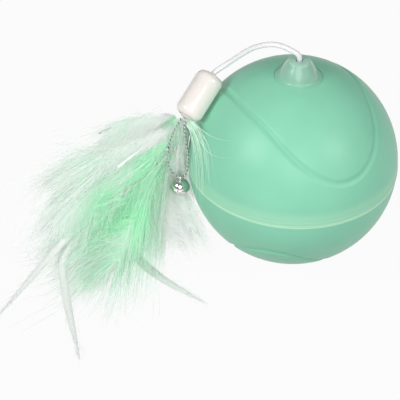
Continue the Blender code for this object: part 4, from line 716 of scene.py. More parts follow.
@dataclass
class Studio:
    """Camera, floor and lamps."""

    distance: float = 1.0
    picture: float = 400.0
    sensor: float = 36.0
    roll: float = 2.5
    pixel: float = 0.000357
    ball_pixels: float = 105.0
    ball_place: tuple[float, float] = (292.8, 159.1)
    world: float = 0.25
    floor_colour: Colour = (0.46, 0.46, 0.46, 1.0)
    floor_glow: float = 0.95
    # Each lamp's name, its way from the ball, its distance, its width and its power.
    lamps: tuple[tuple[str, Point, float, float, float], ...] = (
        ("key_left", (-0.675, -0.490, 0.552), 0.70, 0.30, 1.75),
        ("key_right", (0.651, -0.461, 0.602), 0.75, 0.28, 1.35),
        ("front", (0.0, -0.866, 0.500), 0.90, 0.60, 2.95),
        ("top", (-0.10, 0.10, 1.0), 0.80, 0.60, 0.15),
    )

    def build(self) -> None:
        """Make the camera, the floor and the lamps."""
        self.camera()
        self.floor()
        for name, way, distance, size, power in self.lamps:
            light = bpy.data.lights.new(name, "AREA")
            light.shape = "DISK"
            light.size = size
            light.energy = power
            lamp = bpy.data.objects.new(name, light)
            bpy.context.scene.collection.objects.link(lamp)
            place = Vector(way).normalized()
            lamp.location = BALL_CENTRE + place * distance
            lamp.rotation_euler = place.to_track_quat("Z", "Y").to_euler()
        self.sky()
        bpy.context.scene.view_settings.view_transform = "Standard"

    def camera(self) -> None:
        """Make the long-lens camera of the photograph."""
        roll = math.radians(self.roll)
        right = Vector((1.0, 0.0, 0.0))
        up = Vector((0.0, math.sin(VIEW_TILT), math.cos(VIEW_TILT)))
        back = Vector((0.0, -math.cos(VIEW_TILT), math.sin(VIEW_TILT)))
        across = right * math.cos(roll) + up * math.sin(roll)
        above = up * math.cos(roll) - right * math.sin(roll)
        middle = self.picture / 2
        target = BALL_CENTRE - across * (self.ball_place[0] - middle) * self.pixel
        target -= above * (middle - self.ball_place[1]) * self.pixel
        data = bpy.data.cameras.new("camera")
        data.sensor_width = self.sensor
        focal = self.ball_pixels * math.sqrt((self.distance / BALL_RADIUS) ** 2 - 1.0)
        data.lens = self.sensor * focal / self.picture
        data.clip_start = 0.05
        camera = bpy.data.objects.new("camera", data)
        bpy.context.scene.collection.objects.link(camera)
        turn = Matrix((across, above, back)).transposed().to_4x4()
        camera.matrix_world = Matrix.Translation(target + back * self.distance) @ turn
        bpy.context.scene.camera = camera

    def floor(self) -> None:
        """Make the pale floor, which keeps a faint shadow."""
        deselect()
        bpy.ops.mesh.primitive_plane_add(size=4.0, location=(0.0, 0.0, FLOOR_HEIGHT))
        plane = bpy.context.object
        plane.name = "floor"
        paint = Paint("floor_white")
        pale = paint.node("ShaderNodeBsdfDiffuse", None, {"Color": self.floor_colour})
        glow = paint.node("ShaderNodeEmission", None, {"Color": WHITE, "Strength": 1.0})
        seen = paint.node("ShaderNodeLightPath")
        rays = [Value(paint, seen.outputs[n]) for n in ("Is Camera Ray", "Is Glossy Ray", "Is Transmission Ray")]
        share = rays[0].math("MAXIMUM", rays[1]).math("MAXIMUM", rays[2]) * self.floor_glow
        blend = paint.node("ShaderNodeMixShader", None, {0: share, 1: pale.outputs[0], 2: glow.outputs[0]})
        output = paint.node("ShaderNodeOutputMaterial")
        paint.tree.links.new(blend.outputs[0], output.inputs[0])
        dress(plane, paint.material)

    def sky(self) -> None:
        """Make the even studio light, seen as white."""
        world = bpy.data.worlds.new("studio")
        bpy.context.scene.world = world
        world.use_nodes = True
        tree = world.node_tree
        tree.nodes.clear()
        rays = tree.nodes.new("ShaderNodeLightPath")
        blend = tree.nodes.new("ShaderNodeMixShader")
        output = tree.nodes.new("ShaderNodeOutputWorld")
        tree.links.new(rays.outputs["Is Camera Ray"], blend.inputs[0])
        for socket, strength in ((1, self.world), (2, 1.0)):
            light = tree.nodes.new("ShaderNodeBackground")
            light.inputs[0].default_value = WHITE
            light.inputs[1].default_value = strength
            tree.links.new(light.outputs[0], blend.inputs[socket])
        tree.links.new(blend.outputs[0], output.inputs[0])


# ---------------------------------------------------------------- ball


@dataclass
class Wave:
    """A wavy groove round the ball, its latitude a sum of two cosines, all in degrees."""

    middle: float
    swing: float
    sharpness: float
    crest: float
    half_width: float = 0.00185
    depth: float = 0.0006

    def latitude(self, azimuth: np.ndarray) -> np.ndarray:
        """The groove's latitude at an azimuth, both in radians."""
        turn = 2.0 * (azimuth - math.radians(self.crest))
        return np.radians(self.middle - self.swing * np.cos(turn) - self.sharpness * np.cos(2.0 * turn))

    def half_angle(self, azimuth: np.ndarray) -> np.ndarray:
        """Half the groove's width in latitude, which grows where the groove climbs.

        Args:
            azimuth: Where round the ball, in radians.

        Returns:
            Half the width, in radians.
        """
        turn = 2.0 * (azimuth - math.radians(self.crest))
        rise = np.radians(self.swing * 2.0 * np.sin(turn) + self.sharpness * 4.0 * np.sin(2.0 * turn))
        slope = rise / np.cos(self.latitude(azimuth))
        return self.half_width / BALL_RADIUS * np.sqrt(1.0 + slope**2)


@dataclass
class BallSkin:
    """The two soft halves of the ball."""

    wall: float = 0.002
    upper_rim: float = -0.0013
    lower_rim: float = -0.00145
    lip_top: float = 0.0001
    lip_slope: float = 0.0006
    lip_proud: float = 0.00012
    lip_round: float = 0.00015
    tuck: float = 0.0002
    seat: float = 0.0086
    flat: float = 0.006
    steps: int = 288
    skin_rows: tuple[int, int] = (26, 22)
    groove_rows: int = 19
    inner_rows: int = 16
    upper_wave: Wave = field(default_factory=lambda: Wave(40.4, 16.4, 3.0, 33.0))
    lower_wave: Wave = field(default_factory=lambda: Wave(-45.4, -16.4, -3.0, -12.0))

    def rows(self, near: float, wave: Wave, far: float) -> np.ndarray:
        """Latitudes of the rows of points, close together over the groove.

        Args:
            near: The latitude at the seam, in radians.
            wave: The groove.
            far: The latitude at the pole's end.

        Returns:
            The latitudes.
        """
        middle = math.radians(wave.middle)
        half = wave.half_width / BALL_RADIUS * math.copysign(1.0, far - near)
        first = np.linspace(near, middle - half, self.skin_rows[0])
        groove = np.linspace(middle - half, middle + half, self.groove_rows)[1:-1]
        last = np.linspace(middle + half, far, self.skin_rows[1])
        return np.concatenate([first, groove, last])

    def press(self, obj: bpy.types.Object, wave: Wave, near: float, far: float) -> None:
        """Move the rows onto the wave and press the groove into the outer skin.

        Args:
            obj: The turned half, centred on the origin.
            wave: The groove.
            near: The latitude at the seam, in radians.
            far: The latitude at the pole's end.
        """
        spots = points_of(obj.data)
        radius = np.linalg.norm(spots, axis=1)
        latitude = np.arcsin(np.clip(spots[:, 2] / np.maximum(radius, 1e-9), -1.0, 1.0))
        azimuth = np.arctan2(spots[:, 0], -spots[:, 1])
        sign = math.copysign(1.0, far - near)
        outer = np.abs(radius - BALL_RADIUS) < 2 * SAME_POINT
        outer &= (latitude * sign > near * sign) & (latitude * sign < far * sign)
        middle = math.radians(wave.middle)
        half = wave.half_width / BALL_RADIUS * sign
        place = latitude[outer]
        line = wave.latitude(azimuth[outer])
        wide = wave.half_angle(azimuth[outer]) * sign
        before = line - wide
        after = line + wide
        low = near + (place - near) / (middle - half - near) * (before - near)
        inside = line + (place - middle) / half * wide
        high = after + (place - middle - half) / (far - middle - half) * (far - after)
        moved = np.where((place - middle - half) * sign > 0, high, inside)
        moved = np.where((place - middle + half) * sign < 0, low, moved)
        share = np.clip((moved - line) / wide, -1.0, 1.0)
        dip = np.cos(share * math.pi / 2.0) ** 2
        ring = BALL_RADIUS - wave.depth * dip
        spots[outer, 0] = ring * np.cos(moved) * np.sin(azimuth[outer])
        spots[outer, 1] = -ring * np.cos(moved) * np.cos(azimuth[outer])
        spots[outer, 2] = ring * np.sin(moved)
        obj.data.vertices.foreach_set("co", spots.ravel())
        depth = np.zeros(len(spots), dtype=np.float32)
        depth[outer] = dip
        obj.data.attributes.new("groove", "FLOAT", "POINT").data.foreach_set("value", depth)
        obj.data.update()

    def upper(self) -> bpy.types.Object:
        """The upper half, with its thin lip over the seam.

        Returns:
            The dressed half.
        """
        inner = BALL_RADIUS - self.wall
        proud = BALL_RADIUS + self.lip_proud
        near = math.asin((self.lip_top + self.lip_slope) / BALL_RADIUS)
        far = math.acos(self.seat / BALL_RADIUS)
        rows = self.rows(near, self.upper_wave, far)
        profile = [(BALL_RADIUS * math.cos(a), BALL_RADIUS * math.sin(a)) for a in rows[::-1]]
        profile += [(BALL_RADIUS + self.lip_proud * s, self.lip_top + self.lip_slope - self.lip_slope * t)
                    for s, t in ((0.06, 0.2), (0.25, 0.42), (0.55, 0.62), (0.85, 0.82), (1.0, 1.05))]
        profile += corner((proud - self.lip_round, self.upper_rim + self.lip_round), self.lip_round, 0.0, -90.0, 6)
        profile += arc(inner, self.upper_rim, math.sqrt(inner**2 - self.seat**2), self.inner_rows)
        obj = turned("upper_skin", profile, self.steps, closed=True)
        self.press(obj, self.upper_wave, near, far)
        return self.settle(obj, SiliconeSkin("upper_silicone"), "upper_cover", "upper_half")

    def lower(self) -> bpy.types.Object:
        """The lower half, with the small flat that it rests on.

        Returns:
            The dressed half.
        """
        inner = BALL_RADIUS - self.wall
        near = math.asin((self.lower_rim - self.tuck) / BALL_RADIUS)
        far = -math.acos(self.flat / BALL_RADIUS)
        rows = self.rows(near, self.lower_wave, far)
        edge = math.sqrt(BALL_RADIUS**2 - self.lower_rim**2) - self.tuck
        profile = [(0.0, -inner)] + arc(inner, -inner, self.lower_rim, self.inner_rows)[1:]
        profile += corner((edge, self.lower_rim - self.tuck), self.tuck * 0.97, 90.0, 10.0, 5)
        profile += [(BALL_RADIUS * math.cos(a), BALL_RADIUS * math.sin(a)) for a in rows]
        profile += [(self.flat * 0.5, -BALL_CENTRE.z), (0.0, -BALL_CENTRE.z)]
        obj = turned("lower_skin", profile, self.steps)
        self.press(obj, self.lower_wave, near, far)
        # On the lower half the painted highlight runs along its top edge under the seam.
        skin = SiliconeSkin("lower_silicone", lip_low=-0.0020, lip_high=-0.0010)
        return self.settle(obj, skin, "lower_cover", "lower_half")

    def settle(self, obj: bpy.types.Object, skin: SiliconeSkin, node: str, body: str) -> bpy.types.Object:
        """Put a half in its place, dress it and hand it to its body.

        Args:
            obj: The half, centred on the origin.
            skin: Its finish.
            node: The node that it stands for.
            body: The body that it rides on.

        Returns:
            The half.
        """
        obj.data.transform(Matrix.Translation(BALL_CENTRE))
        smooth(obj, 35.0)
        return hand_over(obj, skin.build(), node, body)

    def build(self) -> list[bpy.types.Object]:
        """Make both halves."""
        return [self.upper(), self.lower()]


@dataclass
class Nipple:
    """The flared rubber nipple at the pole."""

    disc: float = 0.0083
    wall: float = 0.002
    tip: float = 0.0043
    rounding: float = 0.0014
    bore: float = 0.00125
    cavity: float = 0.003
    cavity_span: tuple[float, float] = (0.0320, 0.0400)
    neck: float = 0.0039
    ring: float = 0.00022
    steps: int = 96

    def build(self) -> bpy.types.Object:
        """Make the nipple.

        Returns:
            The dressed nipple.
        """
        top = NIPPLE_TOP - BALL_CENTRE.z
        under = BALL_RADIUS - self.wall
        edge = math.sqrt(BALL_RADIUS**2 - self.disc**2)
        rim = self.disc + self.ring
        ring = [(rim, edge - 0.0004), (rim, edge - 0.0002), (self.disc, edge - 0.00002)]
        ring += [(r, math.sqrt(BALL_RADIUS**2 - r**2)) for r in (0.0081, 0.0075)]
        flare = [(0.00716, 0.03692), (0.00696, 0.03708), (0.00682, 0.03735), (0.00668, 0.03780),
                 (0.00644, 0.03845), (0.00609, 0.03925), (0.00565, 0.04010), (0.00516, 0.04095), (0.00468, 0.04175)]
        head = corner((self.tip - self.rounding, top - self.rounding), self.rounding, 20.0, 90.0, 9)
        mouth = [(0.00165, top), (0.00140, top - 0.00006), (0.00128, top - 0.00022)]
        low, high = self.cavity_span
        inside = [(self.bore, high), (self.cavity, high), (self.cavity, low), (self.neck, low)]
        base = arc(under, math.sqrt(under**2 - self.neck**2), math.sqrt(under**2 - self.disc**2), 6)
        obj = turned("nipple_grommet", ring + flare + head + mouth + inside + base, self.steps, closed=True)
        obj.data.transform(Matrix.Translation(BALL_CENTRE))
        smooth(obj, 50.0)
        return hand_over(obj, ClearRubber().build(), "tail_nipple", "upper_half")


# ---------------------------------------------------------------- cord, ferrule, string, bell


@dataclass
class TailCord:
    """The white cord from the nipple to the ferrule."""

    radius: float = 0.00095
    sunk: float = 0.004
    route: tuple[Point, ...] = (
        (0.0, 0.0, -0.0012), (-0.0001, 0.0, -0.0004), (-0.0006, 0.0, 0.0009), (-0.0030, 0.0004, 0.0021),
        (-0.0063, 0.0012, 0.0032), (-0.0102, 0.0026, 0.0028), (-0.0149, 0.0043, 0.0004), (-0.0185, 0.0058, -0.0028),
        (-0.0220, 0.0071, -0.0067), (-0.0252, 0.0078, -0.0101), (-0.0278, 0.0072, -0.0119),
    )

    def build(self) -> bpy.types.Object:
        """Make the cord as a curve.

        Returns:
            The dressed cord.
        """
        top = MOUTH - LEAN_AXIS * FERRULE_LENGTH
        points = [BEND + Vector(p) for p in self.route] + [top, top + LEAN_AXIS * self.sunk]
        line = smooth_route(points, 32)
        curve = bpy.data.curves.new("white_cord", "CURVE")
        curve.dimensions = "3D"
        curve.bevel_depth = self.radius
        curve.bevel_resolution = 6
        curve.use_fill_caps = True
        spline = curve.splines.new("POLY")
        spline.points.add(len(line) - 1)
        for point, place in zip(spline.points, line):
            point.co = (*place, 1.0)
        spline.use_smooth = True
        obj = bpy.data.objects.new("white_cord", curve)
        bpy.context.scene.collection.objects.link(obj)
        finish = MouldedPlastic("cord_white", tint(250, 247, 252), tint(238, 235, 245), 0.24, 0.00001, 0.3, 0.0008)
        hand_over(obj, finish.build(), "tail_cord", "tail")
        return obj


@dataclass
class Ferrule:
    """The glossy white ferrule with its bound plug."""

    radius: float = 0.0051
    length: float = FERRULE_LENGTH
    top_round: float = 0.0028
    mouth_round: float = 0.0026
    bore: float = 0.00125
    depth: float = 0.0116
    plug_gap: float = 0.0003
    thread: float = 0.00010
    turns: int = 14
    steps: int = 80

    def frame(self) -> Matrix:
        """From the ferrule's own frame, with +Z out of its mouth, to the world's."""
        turn = Matrix((LEAN_LEFT, LEAN_BACK, LEAN_AXIS)).transposed().to_4x4()
        return Matrix.Translation(MOUTH) @ turn

    def build(self) -> list[bpy.types.Object]:
        """Make the ferrule and the plug.

        Returns:
            Both pieces.
        """
        profile = [(SOCKET, -self.depth), (SOCKET, -0.0004)]
        profile += corner((SOCKET + 0.0002, -0.0002), 0.0002, 180.0, 90.0, 4)
        profile += corner((self.radius - self.mouth_round, -self.mouth_round), self.mouth_round, 88.0, 0.0, 12)
        profile += [(self.radius + 0.00002, -0.5 * self.length)]
        shoulder = (self.radius - self.top_round, self.top_round - self.length)
        profile += corner(shoulder, self.top_round, 0.0, -88.0, 12)
        profile += corner((self.bore + 0.0003, 0.0003 - self.length), 0.0003, -90.0, -180.0, 4)
        profile += [(self.bore, -self.depth)]
        body = turned("white_ferrule", profile, self.steps, closed=True)
        body.data.transform(self.frame())
        smooth(body, 45.0)
        finish = MouldedPlastic("ferrule_white", tint(252, 244, 238), tint(246, 236, 230), 0.16, 0.000006, 0.6,
                                0.0010)
        return [hand_over(body, finish.build(), "ferrule", "tail"), self.plug()]

    def plug(self) -> bpy.types.Object:
        """The bound plug, wound with fine thread.

        Returns:
            The dressed plug.
        """
        radius = SOCKET - self.plug_gap
        steps = self.turns * 4
        wound = []
        for i in range(steps + 1):
            height = -self.depth + 0.0006 + (self.depth - 0.0008) * i / steps
            wound.append((radius - self.thread * (1 - math.cos(i * math.pi / 2)) / 2, height))
        crown = [(radius * share, height) for share, height in (
            (0.93, 0.00012), (0.80, 0.00038), (0.55, 0.00062), (0.25, 0.00076), (0.0, 0.0008))]
        profile = [(0.0, -self.depth + 0.0003), (radius * 0.9, -self.depth + 0.0003)] + wound + crown
        obj = turned("bound_plug", profile, 36)
        obj.data.transform(self.frame())
        smooth(obj, 60.0)
        finish = MouldedPlastic("binding_thread", tint(238, 236, 230), tint(216, 212, 204), 0.6, 0.00004)
        return hand_over(obj, finish.build(), "feather_binding", "tail")


class Strands:
    """Collects thin tapered hairs and turns them into one mesh."""

    def __init__(self, sides: int = 3, cover: float = 0.0, soft: float = 0.0) -> None:
        """Start empty.

        Args:
            sides: Sides of each hair.
            cover: How far outside the ball's skin the hairs are kept, or 0.
            soft: How round each hair is shaded, where the rest follows the vane, or 0 for plain shading.
        """
        self.sides = sides
        self.cover = cover
        self.soft = soft
        self.normals: list[np.ndarray] = []
        self.points: list[np.ndarray] = []
        self.faces: list[tuple[int, ...]] = []
        self.tones: list[np.ndarray] = []
        self.total = 0

    def add(self, lines: np.ndarray, radii: np.ndarray, normal: np.ndarray, tones: np.ndarray,
            flat: float = 1.0) -> None:
        """Add hairs.

        Args:
            lines: Points of each hair, in an array of hairs, points and coordinates.
            radii: The radius at each point.
            normal: For each hair, a direction across which it is flattened.
            tones: For each hair and point, four numbers that its finish reads.
            flat: The hair's thickness over its width.
        """
        hairs, count, _ = lines.shape
        along = unit(np.gradient(lines, axis=1))
        across = unit(np.cross(along, normal[:, None, :]))
        upward = np.cross(across, along)
        sides = self.sides
        angles = np.pi / 2.0 - 2.0 * np.pi * np.arange(sides) / sides
        level = across[:, :, None, :] * np.cos(angles)[None, None, :, None]
        raised = upward[:, :, None, :] * np.sin(angles)[None, None, :, None]
        rings = lines[:, :, None, :] + (level + raised * flat) * radii[:, :, None, None]
        body = rings[:, :-1].reshape(hairs, -1, 3)
        tips = lines[:, -1:, :]
        self.points.append(np.concatenate([body, tips], axis=1).reshape(-1, 3))
        body_tones = np.repeat(tones[:, :-1], sides, axis=1)
        self.tones.append(np.concatenate([body_tones, tones[:, -1:]], axis=1).reshape(-1, 4))
        size = (count - 1) * sides + 1
        one = []
        for i in range(count - 2):
            for k in range(sides):
                after = (k + 1) % sides
                one.append((i * sides + k, i * sides + after, (i + 1) * sides + after, (i + 1) * sides + k))
        last = (count - 2) * sides
        ends = [(last + k, last + (k + 1) % sides, size - 1) for k in range(sides)]
        ends.append(tuple(range(sides))[::-1])
        starts = self.total + np.arange(hairs) * size
        outward = np.concatenate([(level + raised)[:, :-1].reshape(hairs, -1, 3), np.zeros((hairs, 1, 3))], axis=1)
        for group in (one, ends[:-1], ends[-1:]):
            base = np.array(group)
            faces = (starts[:, None, None] + base[None]).reshape(-1, base.shape[1])
            self.faces += map(tuple, faces.tolist())
            if self.soft:
                under = np.array([1.0 if k % sides != 1 else -1.0 for k in range(len(group))])
                ways = outward[:, base] * self.soft + normal[:, None, None] * under[None, :, None, None]
                self.normals.append(unit(ways).reshape(-1, 3))
        self.total += hairs * size

    def sheet(self, grid: np.ndarray, ups: np.ndarray, tones: np.ndarray) -> None:
        """Add a thin closed sheet.

        Args:
            grid: Its middle, in rows and columns of points.
            ups: The direction that its upper side faces at each point.
            tones: Four numbers for each point.
        """
        rows, columns, _ = grid.shape
        size = rows * columns
        self.points += [(grid + ups * WEB_HALF).reshape(-1, 3), (grid - ups * WEB_HALF).reshape(-1, 3)]
        self.tones.append(np.tile(tones.reshape(-1, 4), (2, 1)))
        index = np.arange(size).reshape(rows, columns)
        top = np.stack([index[:-1, :-1], index[:-1, 1:], index[1:, 1:], index[1:, :-1]], axis=-1).reshape(-1, 4)
        rim = np.concatenate([index[0, :], index[1:, -1], index[-1, -2::-1], index[-2:0:-1, 0]])
        after = np.roll(rim, -1)
        wall = np.stack([rim + size, after + size, after, rim], axis=-1)
        faces = np.concatenate([top, top[:, ::-1] + size, wall]) + self.total
        self.faces += map(tuple, faces.tolist())
        flat = ups.reshape(-1, 3)
        self.normals += [flat[top].reshape(-1, 3), -flat[top[:, ::-1]].reshape(-1, 3), np.zeros((len(wall) * 4, 3))]
        self.total += 2 * size

    def mesh(self, name: str) -> bpy.types.Object:
        """Turn the hairs into one object.

        Args:
            name: The object's name.

        Returns:
            The object.
        """
        points = np.concatenate(self.points)
        if self.cover:
            # Strands that would meet the bell pass behind it, and the rest lie on the skin and on the ground.
            aside = np.linalg.norm((points - np.array(BELL_CENTRE))[:, ::2], axis=1)
            behind = BELL_CENTRE.y + np.sqrt(np.maximum(BELL_ROOM**2 - aside**2, 0.0))
            near = (aside < BELL_ROOM) & (points[:, 1] < behind) & (points[:, 1] > 2 * BELL_CENTRE.y - behind)
            points[near, 1] = behind[near]
            from_centre = points - np.array(BALL_CENTRE)
            far = np.linalg.norm(from_centre, axis=1)
            reach = BALL_RADIUS + self.cover
            near = far < reach
            points[near] = np.array(BALL_CENTRE) + from_centre[near] * (reach / far[near])[:, None]
            points[:, 2] = np.maximum(points[:, 2], GROUND_GAP)
        data = bpy.data.meshes.new(name)
        data.from_pydata(points.tolist(), [], self.faces)
        layer = data.color_attributes.new("tone", "FLOAT_COLOR", "POINT")
        layer.data.foreach_set("color", np.concatenate(self.tones).ravel())
        data.shade_smooth()
        data.update()
        if self.soft:
            data.normals_split_custom_set(np.concatenate(self.normals).tolist())
        obj = bpy.data.objects.new(name, data)
        bpy.context.scene.collection.objects.link(obj)
        return obj


@dataclass
class BellString:
    """The loop of twisted white thread and silver foil that the bell hangs on."""

    radius: float = 0.00035
    turns: float = 34.0
    start: Vector = field(default_factory=lambda: Vector((-0.039797, -0.007814, 0.058974)))
    route: Profile = field(default_factory=lambda: [
        (-0.00055, -0.0003), (-0.0016, -0.0028), (-0.0032, -0.0070), (-0.0046, -0.0130), (-0.0049, -0.0185),
        (-0.0037, -0.0230), (-0.0018, -0.0257), (0.0, -0.0264), (0.0014, -0.0256), (0.0022, -0.0230),
        (0.0025, -0.0193), (0.0022, -0.0152), (0.0014, -0.0102), (0.0008, -0.0048), (0.00055, -0.0003),
    ])

    def build(self) -> bpy.types.Object:
        """Make the three twisted plies as one tube mesh.

        Returns:
            The dressed string.
        """
        line = smooth_route([(self.start.x + x, self.start.y, self.start.z + z) for x, z in self.route], 240)
        spots = np.array([list(p) for p in line])
        side = np.array([0.0, 1.0, 0.0])
        across = unit(np.cross(unit(np.gradient(spots, axis=0)), side))
        share = np.linspace(0.0, 1.0, len(spots))
        noise = np.random.default_rng(5)
        strands = Strands(sides=6)
        for ply in range(3):
            angle = 2 * np.pi * (self.turns * share + ply / 3)
            offset = across * np.cos(angle)[:, None] + side * np.sin(angle)[:, None]
            width = self.radius * (0.46 if ply else 0.52)
            path = spots + offset * (self.radius - width)
            foil, speck = (1.0, noise.random(len(spots)) ** 2) if ply else (0.0, 0.0)
            radii = np.full((1, len(spots)), width)
            radii[0, -1] = width * 0.5
            tones = tone((1, len(spots)), foil, speck, 0.0, 0.0)
            strands.add(path[None], radii, np.array([[0.0, 0.3, 1.0]]), tones)
        obj = strands.mesh("tinsel_loop")
        hand_over(obj, Tinsel().build(), "bell_string", "bell_loop")
        return obj


@dataclass
class Bell:
    """The small chrome jingle bell with its eye, slot and pellet."""

    radius: float = 0.0033
    wall: float = 0.0004
    band: tuple[float, float] = (0.00025, 0.00024)
    band_edge: tuple[float, float] = (0.00012, 0.00036)
    hang: float = 0.0041
    eye_radius: float = 0.0012
    eye_wire: float = 0.00035
    eye_height: float = 0.0039
    slot_size: Point = (0.0044, 0.0009, 0.0040)
    slot_drop: float = 0.0034
    hole_radius: float = 0.00075
    hole_angle: float = 44.0
    pellet_radius: float = 0.00119
    facet: float = 0.00114
    loop: Vector = field(default_factory=lambda: Vector((-0.0398, -0.007814, 0.032574)))

    def build(self) -> list[bpy.types.Object]:
        """Make the bell and its pellet.

        Returns:
            Both pieces.
        """
        outer = [(self.radius * math.sin(a), self.radius * math.cos(a)) for a in np.radians(np.linspace(0, 84, 22))]
        upper = [(self.radius + out, height) for out, height in (self.band_edge, self.band)]
        under = [(r, -z) for r, z in reversed(outer + upper)]
        inner = self.radius - self.wall
        hollow = [(inner * math.sin(a), inner * math.cos(a)) for a in np.radians(np.linspace(180, 0, 32))]
        shell = turned("bell_body", outer + upper + under, 72)
        for tool in (turned("bell_cavity", hollow, 48), self.slot()):
            combine(shell, tool, "DIFFERENCE")
        deselect()
        bpy.ops.mesh.primitive_torus_add(major_segments=40, minor_segments=14, major_radius=self.eye_radius,
                                         minor_radius=self.eye_wire, rotation=(0.0, math.pi / 2, 0.0))
        eye = baked(bpy.context.object)
        eye.data.transform(Matrix.Translation((0.0, 0.0, self.eye_height)))
        combine(shell, eye, "UNION")
        shell.data.transform(Matrix.Translation(self.loop + Vector((0.0, 0.0, -self.hang))))
        smooth(shell, 30.0)
        finish = Metal("chrome", tint(232, 230, 228), tint(208, 200, 196), 0.07, 1600.0, 0.000003)
        return [hand_over(shell, finish.build(), "bell_shell", "bell"), self.pellet()]

    def slot(self) -> bpy.types.Object:
        """The cutter of the sound slot, with a round hole at each end.

        Returns:
            The cutter.
        """
        deselect()
        bpy.ops.mesh.primitive_cube_add(size=1.0)
        cutter = bpy.context.object
        cutter.name = "slot_cutter"
        cutter.data.transform(Matrix.Diagonal((*self.slot_size, 1.0)))
        cutter.data.transform(Matrix.Translation((0.0, 0.0, -self.slot_drop)))
        angle = math.radians(self.hole_angle)
        for side in (-1, 1):
            deselect()
            way = Vector((side * math.sin(angle), 0.0, -math.cos(angle)))
            bpy.ops.mesh.primitive_cylinder_add(vertices=24, radius=self.hole_radius, depth=0.003,
                                                location=way * self.slot_drop,
                                                rotation=way.to_track_quat("Z", "Y").to_euler())
            combine(cutter, baked(bpy.context.object), "UNION")
        return cutter

    def pellet(self) -> bpy.types.Object:
        """The steel pellet, with the flat facet that such pellets have.

        Returns:
            The dressed pellet.
        """
        low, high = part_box("bell_pellet")
        deselect()
        bpy.ops.mesh.primitive_ico_sphere_add(subdivisions=4, radius=self.pellet_radius)
        obj = bpy.context.object
        obj.name = "steel_pellet"
        bpy.ops.object.mode_set(mode="EDIT")
        bpy.ops.mesh.select_all(action="SELECT")
        bpy.ops.mesh.bisect(plane_co=(0.0, 0.0, self.facet), plane_no=(0.2, 0.1, 1.0), use_fill=True,
                            clear_outer=True)
        bpy.ops.object.mode_set(mode="OBJECT")
        obj.data.transform(Matrix.Translation((Vector(low) + Vector(high)) / 2))
        smooth(obj, 30.0)
        finish = Metal("pellet_steel", tint(176, 176, 178), tint(140, 138, 136), 0.3)
        return hand_over(obj, finish.build(), "bell_pellet", "pellet")


# ---------------------------------------------------------------- feathers


class Kind(Enum):
    """What sort of feather it is."""

    PLUME = "plume"
    HACKLE = "hackle"


@dataclass(frozen=True)
class Lock:
    """Loose strands that leave the plume along a route of their own."""

    route: tuple[Point, ...]
    count: int = 1
    spread: float = 0.0
    radius: float = 0.00009
    dye: float = 0.3
    fan: float = 0.15


@dataclass
class Feather:
    """One feather: its shaft's route, the reach of its barbs to both sides, and its dye."""

    node: str
    kind: Kind
    half_width: float
    half_thickness: float
    root: tuple[float, float]
    route: tuple[Point, ...]
    reach: tuple[Point, ...] = ((0.0, 0.0002, 0.0002), (0.3, 0.0018, 0.0018), (1.0, 0.0004, 0.0004))
    run: float = 0.006
    dye: tuple[tuple[float, float], ...] = ((0.0, 0.0),)
    last: float = 0.90
    barbs: int = 900
    droop: float = 0.35
    wisps: float = 0.10
    grey: float = 0.15
    locks: tuple[Lock, ...] = ()
    seed: int = 1

    def reaches(self, share: np.ndarray) -> list[np.ndarray]:
        """How far barbs at these shares of the shaft reach, first on side 1 and then on side -1."""
        stops = np.array(self.reach)
        return [np.interp(share, stops[:, 0], stops[:, i]) for i in (1, 2)]

    def dyed(self, share: np.ndarray) -> np.ndarray:
        """How strongly barbs at these shares of the shaft are dyed, from 0 to 1."""
        return np.interp(share, *zip(*self.dye))


@dataclass(frozen=True)
class Habit:
    """How barbs differ from one another, where 1 is a usual length, opening or dye.

    Barbs grow in clumps. A plain name gives how much single barbs differ, and a name with clump how much whole
    clumps do. Shorts and branches are shares of all barbs, and a branch starts part of the way out.
    """

    points: int = 7
    clumps: int = 22
    clump_shift: float = 0.25
    clump_blur: float = 0.35
    length: float = 0.18
    clump_length: float = 0.08
    stray_length: tuple[float, float] = (1.15, 0.45)
    shorts: float = 0.45
    short_length: float = 0.25
    length_limits: tuple[float, float] = (0.2, 1.8)
    opening: float = 0.32
    clump_opening: float = 0.10
    opening_limits: tuple[float, float] = (0.05, 1.9)
    branches: float = 0.6
    branch_start: tuple[float, float] = (0.3, 0.35)
    curl: float = 0.075
    flat_curl: float = 0.65
    scatter: float = 0.0005
    taper: float = 0.85
    dye: float = 0.35
    clump_dye: float = 0.25
    grey: float = 0.16
    clump_grey: float = 0.08
    stand: tuple[float, float, float] = (0.4, 0.4, 0.3)
    layer: tuple[float, float] = (0.3, 0.5)
    clump_sag: float = 0.3
    waves: tuple[float, float] = (2.5, 2.5)
    thickness: tuple[float, float] = (0.75, 0.5)
    flatness: float = 0.3
    outward: float = 1.5
    forward: float = 1.2
    sag: float = 1.8
    young_share: float = 0.12
    youngest: float = 0.35


